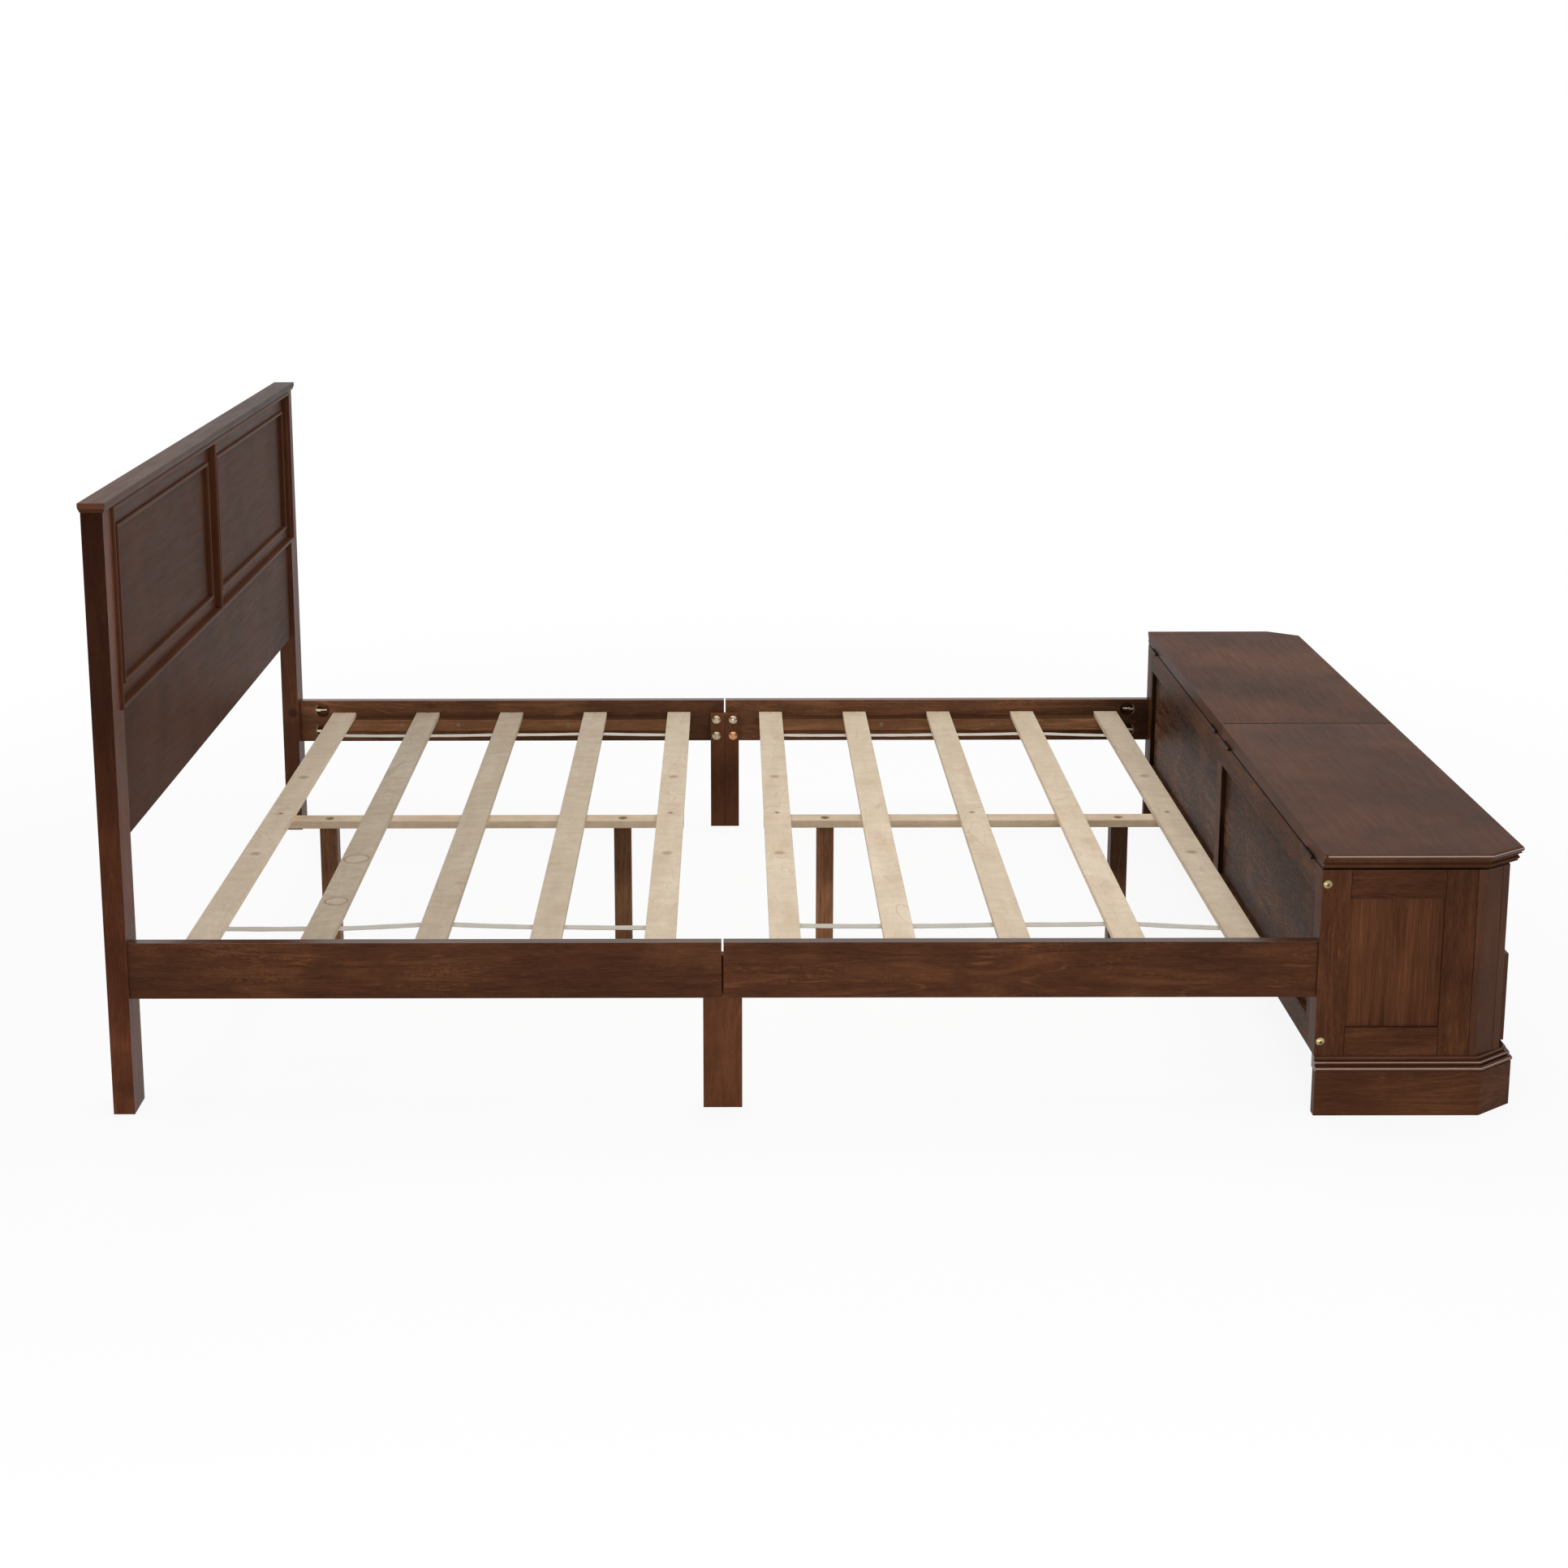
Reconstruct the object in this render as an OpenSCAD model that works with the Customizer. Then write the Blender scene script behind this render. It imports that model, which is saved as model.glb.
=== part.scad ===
// Platform bed whose footboard is a blanket chest.
// +X runs from the headboard to the chest, Y across the bed, +Z up, millimetres.
// The modules draw the bed with x = 0 at the front face of the headboard posts;
// in_frame() then moves it so that the middle of its footprint lies at the origin.

/* [Mattress space] */
// Length of the mattress that the bed takes
mattress_l = 2032; // [1980:1:2080]
// Width of the mattress that the bed takes
mattress_w = 1524; // [1480:1:1570]
// Play between mattress and headboard or chest, at each end
end_play = 9; // [5:1:14]
// Play between mattress and side rail, at each side
side_play = 8; // [4:1:14]

/* [Headboard] */
// Height of the headboard with its cap
head_h = 1084; // [1060:1:1110]
// Thickness of a headboard post, along the bed
post_t = 37; // [32:1:42]
// Width of a headboard post, across the bed
post_w = 64; // [56:1:72]
// How far the outside of post and chest stands out past the side rails
post_proud = 6; // [3:1:9]
// Height of the moulded cap
cap_h = 16; // [14:1:24]
// Overhang of the cap at its front and at its ends
cap_over = 6; // [4:0.5:8]
// How far the cap stands out over the back of the headboard
cap_back = 3; // [3:0.5:5]
// Height of the upright edge of the cap, above its bevel
cap_lip = 8; // [6:1:10]
// Height of the lower edge of the lower panel
panel_bottom = 481; // [450:1:510]
// Height of the joint between lower panel and middle rail
panel_joint = 715; // [690:1:730]
// Thickness of the rails, stiles and lower panel
panel_t = 18; // [15:1:20]
// How far the panels lie behind the front of the posts
panel_recess = 9; // [6:0.5:10]
// Thickness of the two upper field panels
field_t = 9; // [6:1:12]
// How far the fields lie behind the rails round them
field_recess = 3; // [2:0.5:4]
// Width of the flat band above the field beads
band_top = 31; // [24:1:36]
// Width of the flat band below the field beads
band_low = 26; // [20:1:32]
// Width of the flat band between post and field bead
end_band = 30; // [24:1:36]
// Width of the flat band between centre line and field bead
centre_band = 37; // [30:1:44]

/* [Headboard beads] */
// Width of the large bead that frames the upper half
frame_bead_w = 8; // [7:1:12]
// How far the large bead stands out in front of the posts
frame_bead_h = 5; // [3.5:0.5:6]
// Distance from the inner edge of the post to the outer edge of the large bead
frame_bead_lap = 16; // [14:1:20]
// Width of the bead round each field
field_bead_w = 8; // [7:1:12]
// Height of the field beads above the rails
field_bead_h = 6; // [5:0.5:7]
// Width of the upright bead between the fields
centre_bead_w = 9; // [8:1:14]

/* [Side rails] */
// Thickness of a side rail
rail_t = 18; // [17:1:22]
// Height of a side rail
rail_h = 101; // [92:1:112]
// Height of the lower edge of the side rails
rail_bottom = 211; // [190:1:225]
// Gap between the two halves of a side rail
rail_gap = 3.5; // [2:0.5:6]
// Width of the leg under the rail joint
mid_leg_w = 68; // [60:1:76]
// Thickness of the leg under the rail joint
mid_leg_t = 18; // [15:1:22]
// Width and height of the cleats that carry the slats
cleat_w = 28; // [24:1:32]

/* [Fastenings] */
// Diameter of the studs and bolts
stud_d = 6; // [5:0.5:7]
// Diameter of the round pocket for a rail nut
pocket_d = 35; // [32:1:36]
// Depth of the round pocket for a rail nut
pocket_deep = 15; // [14:0.5:15.5]
// Distance from rail end to pocket centre
pocket_inset = 51; // [42:1:60]
// Upright distance between the two studs of a rail end
stud_pitch = 52; // [46:1:56]
// Diameter of the mushroom heads on the middle legs
leg_bolt_head = 20; // [16:1:20]
// Spacing of the four bolts of a middle leg, both ways
leg_bolt_pitch = 40; // [36:1:44]
// Diameter of the bolt heads on the sides of the chest
side_bolt_head = 15; // [12:1:16]

/* [Slat deck] */
// Slats in each half of the bed
slat_count = 5; // [4:1:6]
// Width of a slat
slat_w = 55; // [45:1:65]
// Thickness of a slat
slat_t = 11; // [10:1:14]
// Distance from headboard or chest to the first slat
slat_inset = 78; // [60:1:95]
// Distance from the middle of the bed to the nearest slat
slat_mid_inset = 83; // [75:1:95]
// Clearance between slat end and side rail
slat_play = 3; // [2:0.5:5]
// Distance from the top of the side rail down to the top of the slats
deck_drop = 28.5; // [24:0.5:34]
// Width of the webbing under the slats
strap_w = 20; // [16:1:28]
// Thickness of the webbing
strap_t = 1.2; // [1:0.1:2]
// Distance from the centre line to the webbing
strap_y = 605; // [500:1:640]
// Width of the centre rail
centre_rail_w = 41; // [38:1:48]
// Thickness of the centre rail
centre_rail_t = 15; // [13:1:20]
// Side of a square centre leg
centre_leg_w = 35; // [30:1:37]
// Distance from the middle of the bed to the inner centre legs
inner_leg_x = 210; // [180:1:240]
// Distance from the middle of the bed to the outer centre legs
outer_leg_x = 819; // [780:1:850]

/* [Blanket chest] */
// Depth of the chest body
chest_d = 330; // [310:1:360]
// Height of the top of the chest body
chest_top = 443; // [425:1:470]
// Height of the plinth
plinth_h = 80; // [70:1:90]
// Height of the moulding on the plinth
base_h = 25; // [24:1:30]
// Thickness of frames and boards
board_t = 18; // [16:1:20]
// Width of the corner post at the bed side, across the bed
corner_post_w = 41; // [38:1:46]
// Width of the corner post at the bed side, along the bed
corner_post_d = 51; // [46:1:58]
// Height of the top and bottom rails of the frames
frame_rail_h = 52; // [44:1:56]
// Width of the front stile of the side frames
side_stile_w = 54; // [46:1:62]
// Thickness of the plain panels in the frames
thin_panel_t = 8; // [6:1:9]
// How far the side panels lie behind their frames
side_recess = 6; // [4:0.5:8]
// Width of the end stiles of the back frame
back_stile_w = 20; // [18:1:30]
// Width of the centre stile of the back frame
back_centre_w = 40; // [34:1:46]
// Where the slanted corner starts, from the bed side
cant_start = 280; // [270:1:290]
// How far the slanted corner comes in across the bed
cant_in = 29.5; // [26:0.5:34]
// Straight strip of the corner post beside the slant
cant_strip = 13; // [10:1:16]
// Thickness of the chest floor
floor_t = 12; // [9:1:15]
// Height of the middle rail at the front, between drawers and chest
front_mid_h = 30; // [24:1:36]
// Height of the bottom rail at the front
front_bottom_h = 24; // [20:1:28]
// Width of the centre stile at the front
front_centre_w = 60; // [50:1:70]
// Width of the end stiles at the front
front_stile_w = 60; // [50:1:70]
// Overhang of lid and plinth at the front
front_over = 25; // [23:0.5:28]
// Overhang of the plinth at the sides
plinth_side_over = 12; // [11:0.5:14]
// Thickness of the plinth boards
plinth_t = 18; // [16:1:22]
// Width of the moulding that lies on the plinth
base_w = 26; // [25.5:0.5:28]

/* [Lids] */
// Thickness of a lid
lid_t = 27; // [24:1:30]
// Gap between lid and chest, filled by the hinge leaves
lid_gap = 3; // [2.8:0.1:3.6]
// Gap between the two lids
lid_split = 1.5; // [1:0.5:4]
// Overhang of the lids at the sides
lid_side_over = 9.5; // [8:0.5:12]
// Length of a hinge
hinge_l = 57; // [48:1:66]
// Depth of a hinge leaf
hinge_leaf_d = 18; // [14:1:19]
// Radius of a hinge knuckle
knuckle_r = 3; // [2.6:0.1:3.2]
// Radius of a hinge pin
hinge_pin_r = 1.5; // [1.2:0.1:1.6]
// Distance from the centre line to the outer hinges
outer_hinge_y = 709; // [660:1:715]
// Distance from the centre line to the inner hinges
inner_hinge_y = 63; // [50:1:90]

/* [Drawers] */
// Thickness of a drawer front
drawer_front_t = 18; // [16:1:20]
// Height of the top of the drawer fronts
drawer_top = 268; // [262:1:272]
// Gap round the drawer fronts
drawer_gap = 3; // [2:0.5:4]
// Distance from the side of the chest to the drawer front
drawer_end = 59; // [52:1:66]
// Thickness of the drawer sides and back
drawer_side_t = 12; // [10:1:14]
// Thickness of the drawer bottom
drawer_bottom_t = 6; // [5:0.5:8]
// Height of the drawer sides
drawer_side_h = 118; // [100:1:124]
// Length of the drawer box
drawer_box_l = 280; // [240:1:284]
// Diameter of a drawer knob
knob_d = 32; // [28:1:38]
// How far a knob stands out
knob_l = 24; // [20:1:28]

/* [Hidden] */
$fn = 48;
SIDES = [-1, 1];
play = 0.3;            // running gap between a moving piece and what it slides on
fit_gap = 0.05;        // radial clearance of pins and studs in their holes
seam = 0.1;            // hairline at the joints between the boards of one frame
WALNUT = [0.29, 0.17, 0.12];
WALNUT_DARK = [0.22, 0.15, 0.12];
SLAT_WOOD = [0.82, 0.74, 0.62];
LEG_WOOD = [0.33, 0.23, 0.15];
ZINC = [0.78, 0.72, 0.48];
DARK_STEEL = [0.15, 0.13, 0.12];
WEBBING = [0.88, 0.87, 0.84];

bed_l = mattress_l + 2 * end_play;             // headboard posts to chest
mid_x = bed_l / 2;
rail_in = mattress_w / 2 + side_play;          // inner face of a side rail
rail_out = rail_in + rail_t;
side_y = rail_out + post_proud;                // outside of posts and chest
post_in = side_y - post_w;
post_top = head_h - cap_h;
rail_top = rail_bottom + rail_h;
slat_top = rail_top - deck_drop;
deck_z = slat_top - slat_t;                    // underside of the slats
centre_rail_z = deck_z - centre_rail_t;
stud_y = rail_out - rail_t / 2;
stud_z = [for (k = SIDES) rail_bottom + rail_h / 2 + k * stud_pitch / 2];
stud_head = 25;                                // stud length inside post or chest
half_starts = [slat_inset, mid_x + slat_mid_inset];
half_ends = [mid_x - slat_mid_inset, bed_l - slat_inset];
slat_pitch = (half_ends[0] - half_starts[0] - slat_w) / (slat_count - 1);

base_z = plinth_h + base_h;                    // lower edge of the chest body
lid_z = chest_top + lid_gap;
corner_in = side_y - corner_post_w;            // inner face of the corner posts
frame_in = side_y - board_t;                   // inner face of the side frames
cant_y = side_y - cant_in;                     // where the slant meets the front
side_stile_x = cant_start - cant_strip - side_stile_w;
front_x = chest_d - board_t;                   // inner face of the front frame
side_panel_x = [corner_post_d, side_stile_x];
frame_rail_z = [base_z, chest_top - frame_rail_h];
cant_lap = 7;                                  // lid and plinth reach past the slant
cant_lap_y = 5;
axis_x = -knuckle_r - 0.5;                     // hinge axis, from the back of the chest
axis_z = chest_top + lid_gap / 2;
leaf_t = lid_gap / 2 - 0.1;
knuckle_gap = 0.3;

drawer_low = base_z + drawer_gap;
opening_low = base_z + front_bottom_h;
opening_high = drawer_top - drawer_gap * 2;
opening_in = front_centre_w / 2;
opening_out = cant_y - front_stile_w;
floor_z = opening_high + front_mid_h - floor_t;
box_in = opening_in + 4;
box_out = opening_out - 4;
box_z = opening_low + play;
drawer_face_x = chest_d + play;                // back of the drawer front
knob_face_x = drawer_face_x + drawer_front_t;

x_min = -post_t - cap_back;
x_max = bed_l + max(chest_d + front_over, knob_face_x + knob_l);
frame_shift = -(x_min + x_max) / 2;

// ---------- placing ----------

module in_frame() translate([frame_shift, 0, 0]) children();

// Draws in chest coordinates, with x = 0 at the bed side of the chest.
module in_chest() in_frame() translate([bed_l, 0, 0]) children();

// A box from its lowest to its highest corner.
module block(low, high) translate(low) cube(high - low);

// The same box on the side s of the bed (-1 near, 1 far), from |y| = y0 to y1.
module side_block(s, x0, x1, y0, y1, z0, z1)
    translate([x0, s > 0 ? y0 : -y1, z0]) cube([x1 - x0, y1 - y0, z1 - z0]);

// ---------- mitred mouldings ----------

function unit(v) = v / norm(v);

// Outward normal of a run from a to b, for paths that go round anticlockwise.
function outward(a, b) = let (d = unit(b - a)) [d.y, -d.x];

// Mitre vector at each corner: moving by it moves both runs out by one millimetre.
function mitres(path, closed) =
    let (n = len(path))
    [for (i = [0 : n - 1])
        let (first = i == 0 && !closed, last = i == n - 1 && !closed,
             before = first ? [0, 0] : outward(path[(i - 1 + n) % n], path[i]),
             after = last ? [0, 0] : outward(path[i], path[(i + 1) % n]))
        first ? after : last ? before : (before + after) / (1 + before * after)];

// A moulding along a path in the XY plane, mitred at each corner. The 2D child is its
// section: x outward from the path, from x0 to x1, and y up. A gap above 0 parts the
// lengths at their mitres.
module mitred_run(path, x0, x1, height, closed = false, gap = 0) {
    n = len(path);
    m = mitres(path, closed);
    reach = x1 - x0 + 5;
    for (i = [0 : n - (closed ? 1 : 2)]) {
        a = path[i];
        b = path[(i + 1) % n];
        along = unit(b - a);
        ma = m[i];
        mb = m[(i + 1) % n];
        ga = (i == 0 && !closed ? 0 : gap / 2) * along;
        gb = (i == n - 2 && !closed ? 0 : gap / 2) * along;
        out = outward(a, b);
        start = b + reach * along;
        intersection() {
            translate([start.x, start.y, 0])
                rotate([0, 0, atan2(out.y, out.x)])
                    rotate([90, 0, 0])
                        linear_extrude(norm(b - a) + 2 * reach) children();
            translate([0, 0, -height])
                linear_extrude(3 * height)
                    polygon([a + (x0 - 1) * ma + ga, a + (x1 + 1) * ma + ga,
                             b + (x1 + 1) * mb - gb, b + (x0 - 1) * mb - gb]);
        }
    }
}

// Carries a shape drawn in plan to the headboard: plan x to +Y, plan y to +Z, up to +X.
module on_headboard(x) translate([x, 0, 0]) rotate([90, 0, 90]) children();

// Section of a bead: w wide and h high, with its upper corners rounded by r.
module bead_section(w, h, r) intersection() {
    square([w, h]);
    union() {
        square([w, h - r]);
        translate([r, 0]) square([w - 2 * r, h]);
        for (x = [r, w - r]) translate([x, h - r]) circle(r);
    }
}

function rect_path(y0, y1, z0, z1) = [[y0, z0], [y1, z0], [y1, z1], [y0, z1]];

// ---------- headboard ----------

field_bead_top = post_top - frame_bead_w - band_top;
field_bead_low = panel_joint + frame_bead_w + band_low;
field_low = field_bead_low + field_bead_w / 2;
field_high = field_bead_top - field_bead_w / 2;
field_y = [centre_band + field_bead_w / 2, post_in - end_band - field_bead_w / 2];

module hb_post(s) color(WALNUT) in_frame() difference() {
    side_block(s, -post_t, 0, post_in, side_y, 0, post_top);
    for (z = stud_z) translate([-stud_head, s * stud_y, z])
        rotate([0, 90, 0]) cylinder(h = stud_head + 1, r = stud_d / 2 + fit_gap);
}

module hb_cap() color(WALNUT) in_frame() {
    back = cap_over - cap_back - post_t;
    path = [[back, -side_y], [0, -side_y], [0, side_y], [back, side_y]];
    block([back, -side_y, post_top], [0, side_y, head_h]);
    translate([0, 0, post_top]) mitred_run(path, -2, cap_over, cap_h, closed = true)
        polygon([[-2, 0], [cap_over / 2, 0], [cap_over, cap_h - cap_lip], [cap_over, cap_h],
                 [-2, cap_h]]);
}

// A rail, stile or panel of the headboard, from |y| = y0 to y1.
module hb_board(y0, y1, z0, z1)
    block([-panel_recess - panel_t, y0, z0], [-panel_recess, y1, z1]);

module hb_top_rail() color(WALNUT) in_frame() hb_board(-post_in, post_in, field_high, post_top);

module hb_mid_rail() color(WALNUT) in_frame() hb_board(-post_in, post_in, panel_joint, field_low);

module hb_lower_panel() color(WALNUT) in_frame()
    hb_board(-post_in, post_in, panel_bottom, panel_joint);

module hb_end_stiles() color(WALNUT) in_frame() {
    hb_board(-post_in, -field_y[1], field_low, field_high);
    hb_board(field_y[1], post_in, field_low, field_high);
}

module hb_centre_stile() color(WALNUT) in_frame()
    hb_board(-field_y[0], field_y[0], field_low, field_high);

module hb_fields() color(WALNUT_DARK) in_frame()
    for (s = SIDES)
        side_block(s, -panel_recess - field_recess - field_t, -panel_recess - field_recess,
                   field_y[0], field_y[1], field_low, field_high);

// The large bead lies on the posts, with a backing strip down to the rails above and below.
module hb_frame_bead() color(WALNUT) in_frame() {
    edge_y = post_in + frame_bead_lap;
    low = panel_joint;
    path = rect_path(-edge_y, edge_y, low, post_top);
    on_headboard(0)
        mitred_run(path, -frame_bead_w, 0, frame_bead_h, closed = true, gap = seam)
            translate([-frame_bead_w, 0])
                bead_section(frame_bead_w, frame_bead_h, frame_bead_w * 0.4);
    for (z = [low, post_top - frame_bead_w])
        block([-panel_recess, -post_in, z], [0, post_in, z + frame_bead_w]);
}

// A bead round one field, half on the rails and half on the field.
module field_bead(s) color(WALNUT) in_frame() {
    y0 = field_y[0] - field_bead_w / 2;
    y1 = field_y[1] + field_bead_w / 2;
    path = s > 0 ? rect_path(y0, y1, field_bead_low, field_bead_top)
                 : rect_path(-y1, -y0, field_bead_low, field_bead_top);
    on_headboard(-panel_recess)
        mitred_run(path, -field_bead_w, 0, field_bead_h + field_recess, closed = true,
                   gap = seam) {
            translate([-field_bead_w, 0])
                bead_section(field_bead_w, field_bead_h, field_bead_w * 0.4);
            translate([-field_bead_w, -field_recess]) square([field_bead_w / 2, field_recess + 1]);
        }
}

module hb_centre_bead() color(WALNUT) in_frame()
    translate([-panel_recess, 0, panel_joint + frame_bead_w])
        linear_extrude(post_top - panel_joint - 2 * frame_bead_w)
            rotate(-90) translate([-centre_bead_w / 2, 0])
                bead_section(centre_bead_w, panel_recess + frame_bead_h - 1, centre_bead_w * 0.4);

// ---------- side rails ----------

// One half of a side rail; its outer end meets the post or the chest.
module side_rail(s, foot) color(WALNUT) in_frame() {
    x0 = foot ? mid_x + rail_gap / 2 : 0;
    x1 = foot ? bed_l : mid_x - rail_gap / 2;
    pocket_x = foot ? bed_l - pocket_inset : pocket_inset;
    end_x = foot ? bed_l - pocket_inset : -1;
    difference() {
        side_block(s, x0, x1, rail_in, rail_out, rail_bottom, rail_top);
        for (z = stud_z) {
            translate([pocket_x, s * (rail_in - 1), z])
                rotate([-90 * s, 0, 0]) cylinder(h = pocket_deep + 1, d = pocket_d);
            translate([end_x, s * stud_y, z])
                rotate([0, 90, 0]) cylinder(h = pocket_inset + 1, r = stud_d / 2 + fit_gap);
        }
        for (dx = SIDES) for (dz = [0, 1])
            if ((dx > 0) == foot)
                translate([mid_x + dx * leg_bolt_pitch / 2, s * (rail_in - 1), leg_bolt_z(dz)])
                    rotate([-90 * s, 0, 0])
                        cylinder(h = leg_bolt_deep + 1, r = stud_d / 2 + fit_gap);
    }
}

mid_leg_top = slat_top - 2;
leg_bolt_deep = rail_t - 4;                    // bolt length inside the side rail
leg_bolt_high = mid_leg_top - 14;
function leg_bolt_z(row) = leg_bolt_high - row * leg_bolt_pitch;

module mid_leg(s) color(WALNUT) in_frame() difference() {
    side_block(s, mid_x - mid_leg_w / 2, mid_x + mid_leg_w / 2, rail_in - mid_leg_t, rail_in,
               0, mid_leg_top);
    for (dx = SIDES) for (row = [0, 1])
        translate([mid_x + dx * leg_bolt_pitch / 2, s * (rail_in - mid_leg_t - 1), leg_bolt_z(row)])
            rotate([-90 * s, 0, 0]) cylinder(h = mid_leg_t + 2, r = stud_d / 2 + fit_gap);
}

// A domed bolt head on a shank; the head's flat side lies at z = 0 and the shank goes down.
// A socket above 0 cuts a hexagonal hole of that width into the head.
module dome_bolt(head_d, head_h, shank, socket = 0) {
    ball_r = (head_d * head_d / 4 + head_h * head_h) / (2 * head_h);
    difference() {
        intersection() {
            translate([0, 0, head_h - ball_r]) sphere(ball_r);
            cylinder(h = head_h + 1, d = head_d);
        }
        if (socket > 0) translate([0, 0, head_h - socket_deep])
            cylinder(h = socket_deep + 1, d = socket, $fn = 6);
    }
    translate([0, 0, -shank]) cylinder(h = shank + 0.5, d = stud_d);
}

socket_deep = 2;
socket_d = 5;

module mid_leg_bolts() color(ZINC) in_frame()
    for (s = SIDES) for (dx = SIDES) for (row = [0, 1])
        translate([mid_x + dx * leg_bolt_pitch / 2, s * (rail_in - mid_leg_t), leg_bolt_z(row)])
            rotate([90 * s, 0, 0]) dome_bolt(leg_bolt_head, 4, mid_leg_t + leg_bolt_deep);

module cleats(s) color(WALNUT) in_frame()
    for (half = [0, 1])
        side_block(s, half_starts[half], half_ends[half], rail_in - cleat_w, rail_in,
                   deck_z - cleat_w, deck_z);

// Calls its child at each of the eight rail studs: at the pocket, x pointing to the rail end.
module at_studs()
    for (s = SIDES) for (end = [0, 1]) for (z = stud_z)
        translate([end == 0 ? pocket_inset : bed_l - pocket_inset, s * stud_y, z])
            rotate([0, 0, end == 0 ? 180 : 0]) children();

nut_t = 10;
nut_d = 11.5;                                  // across the nut's corners
nut_back = 14;                                 // stud left free behind the nut
washer_t = 1.2;
washer_w = 12;                                 // washer width, across the bed
washer_h = 24;                                 // washer height
washer_r = pocket_d / 2 - 2 * fit_gap;         // round back of the washer, on the pocket wall
washer_in = washer_r - washer_t;
nut_x = sqrt(washer_in * washer_in - nut_d * nut_d / 4) - fit_gap - nut_t;

module rail_studs() color(ZINC) in_frame() at_studs()
    translate([nut_x - nut_back, 0, 0]) rotate([0, 90, 0])
        cylinder(h = pocket_inset - nut_x + nut_back + stud_head, d = stud_d);

module rail_nuts() color(ZINC) in_frame() at_studs()
    translate([nut_x, 0, 0]) rotate([0, 90, 0]) difference() {
        cylinder(h = nut_t, d = nut_d, $fn = 6);
        translate([0, 0, -1]) cylinder(h = nut_t + 2, r = stud_d / 2 + fit_gap);
    }

// Washers bent to the round wall of the pocket.
module rail_washers() color(ZINC) in_frame() at_studs()
    difference() {
        intersection() {
            rotate([90, 0, 0]) cylinder(h = washer_w, r = washer_r, center = true);
            block([0, -washer_w / 2, -washer_h / 2], [pocket_d, washer_w / 2, washer_h / 2]);
        }
        rotate([90, 0, 0]) cylinder(h = washer_w + 2, r = washer_in, center = true);
        rotate([0, 90, 0]) cylinder(h = pocket_d, r = stud_d / 2 + fit_gap);
    }

// ---------- slat deck ----------

module slats(half) color(SLAT_WOOD) in_frame()
    for (i = [0 : slat_count - 1])
        block([half_starts[half] + i * slat_pitch, -rail_in + slat_play, deck_z],
              [half_starts[half] + i * slat_pitch + slat_w, rail_in - slat_play, slat_top]);

module slat_straps() color(WEBBING) in_frame()
    for (half = [0, 1]) for (s = SIDES)
        side_block(s, half_starts[half] + 4, half_ends[half] - 4, strap_y - strap_w / 2,
                   strap_y + strap_w / 2, deck_z - strap_t, deck_z);

function leg_xs(half) = half == 0 ? [mid_x - outer_leg_x, mid_x - inner_leg_x]
                                  : [mid_x + inner_leg_x, mid_x + outer_leg_x];
leg_bolt_l = 60;                               // bolt length inside a centre leg
sink = 5;                                      // depth of the counterbored bolt holes
sink_d = 18;

module centre_rail(half) color(SLAT_WOOD) in_frame() difference() {
    block([half_starts[half], -centre_rail_w / 2, centre_rail_z],
          [half_ends[half], centre_rail_w / 2, deck_z]);
    for (x = leg_xs(half)) {
        translate([x, 0, centre_rail_z - 1])
            cylinder(h = centre_rail_t + 2, r = stud_d / 2 + fit_gap);
        translate([x, 0, deck_z - sink]) cylinder(h = sink + 1, d = sink_d);
    }
}

module centre_legs() color(LEG_WOOD) in_frame()
    for (half = [0, 1]) for (x = leg_xs(half)) difference() {
        block([x - centre_leg_w / 2, -centre_leg_w / 2, 0],
              [x + centre_leg_w / 2, centre_leg_w / 2, centre_rail_z]);
        translate([x, 0, centre_rail_z - leg_bolt_l])
            cylinder(h = leg_bolt_l + 1, r = stud_d / 2 + fit_gap);
    }

module centre_leg_bolts() color(ZINC) in_frame()
    for (half = [0, 1]) for (x = leg_xs(half)) translate([x, 0, deck_z - sink])
        dome_bolt(sink_d - 4, 3, centre_rail_t - sink + leg_bolt_l, socket_d);

// ---------- blanket chest ----------

module chest_side(s) color(WALNUT) in_chest() {
    // corner post that takes the studs of the side rail
    difference() {
        side_block(s, 0, corner_post_d, corner_in, side_y, base_z, chest_top);
        for (z = stud_z) translate([-1, s * stud_y, z])
            rotate([0, 90, 0]) cylinder(h = stud_head + 1, r = stud_d / 2 + fit_gap);
        for (z = side_bolt_z) translate([side_bolt_x, s * (corner_in - 1), z])
            rotate([-90 * s, 0, 0]) cylinder(h = corner_post_w + 2, r = stud_d / 2 + fit_gap);
    }
    side_block(s, side_stile_x, cant_start - cant_strip, frame_in, side_y, base_z, chest_top);
    for (z = frame_rail_z)
        side_block(s, corner_post_d + seam, side_stile_x - seam, frame_in, side_y,
                   z, z + frame_rail_h);
}

module chest_side_panels() color(WALNUT) in_chest()
    for (s = SIDES)
        side_block(s, side_panel_x[0], side_panel_x[1], side_y - side_recess - thin_panel_t,
                   side_y - side_recess, base_z + frame_rail_h, chest_top - frame_rail_h);

// A point on the slanted corner: along it from its side end, and down into it.
function cant_point(along, deep) =
    let (a = [cant_start, side_y], b = [chest_d, cant_y], d = unit(b - a))
    a + along * d - deep * [-d.y, d.x];

cant_l = norm([chest_d - cant_start, cant_in]);
cant_groove = 3;
cant_edge = 15;                                // strip between the groove and the front
cant_rebate = 4;                               // from the slant's start back to its rear face

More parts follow.
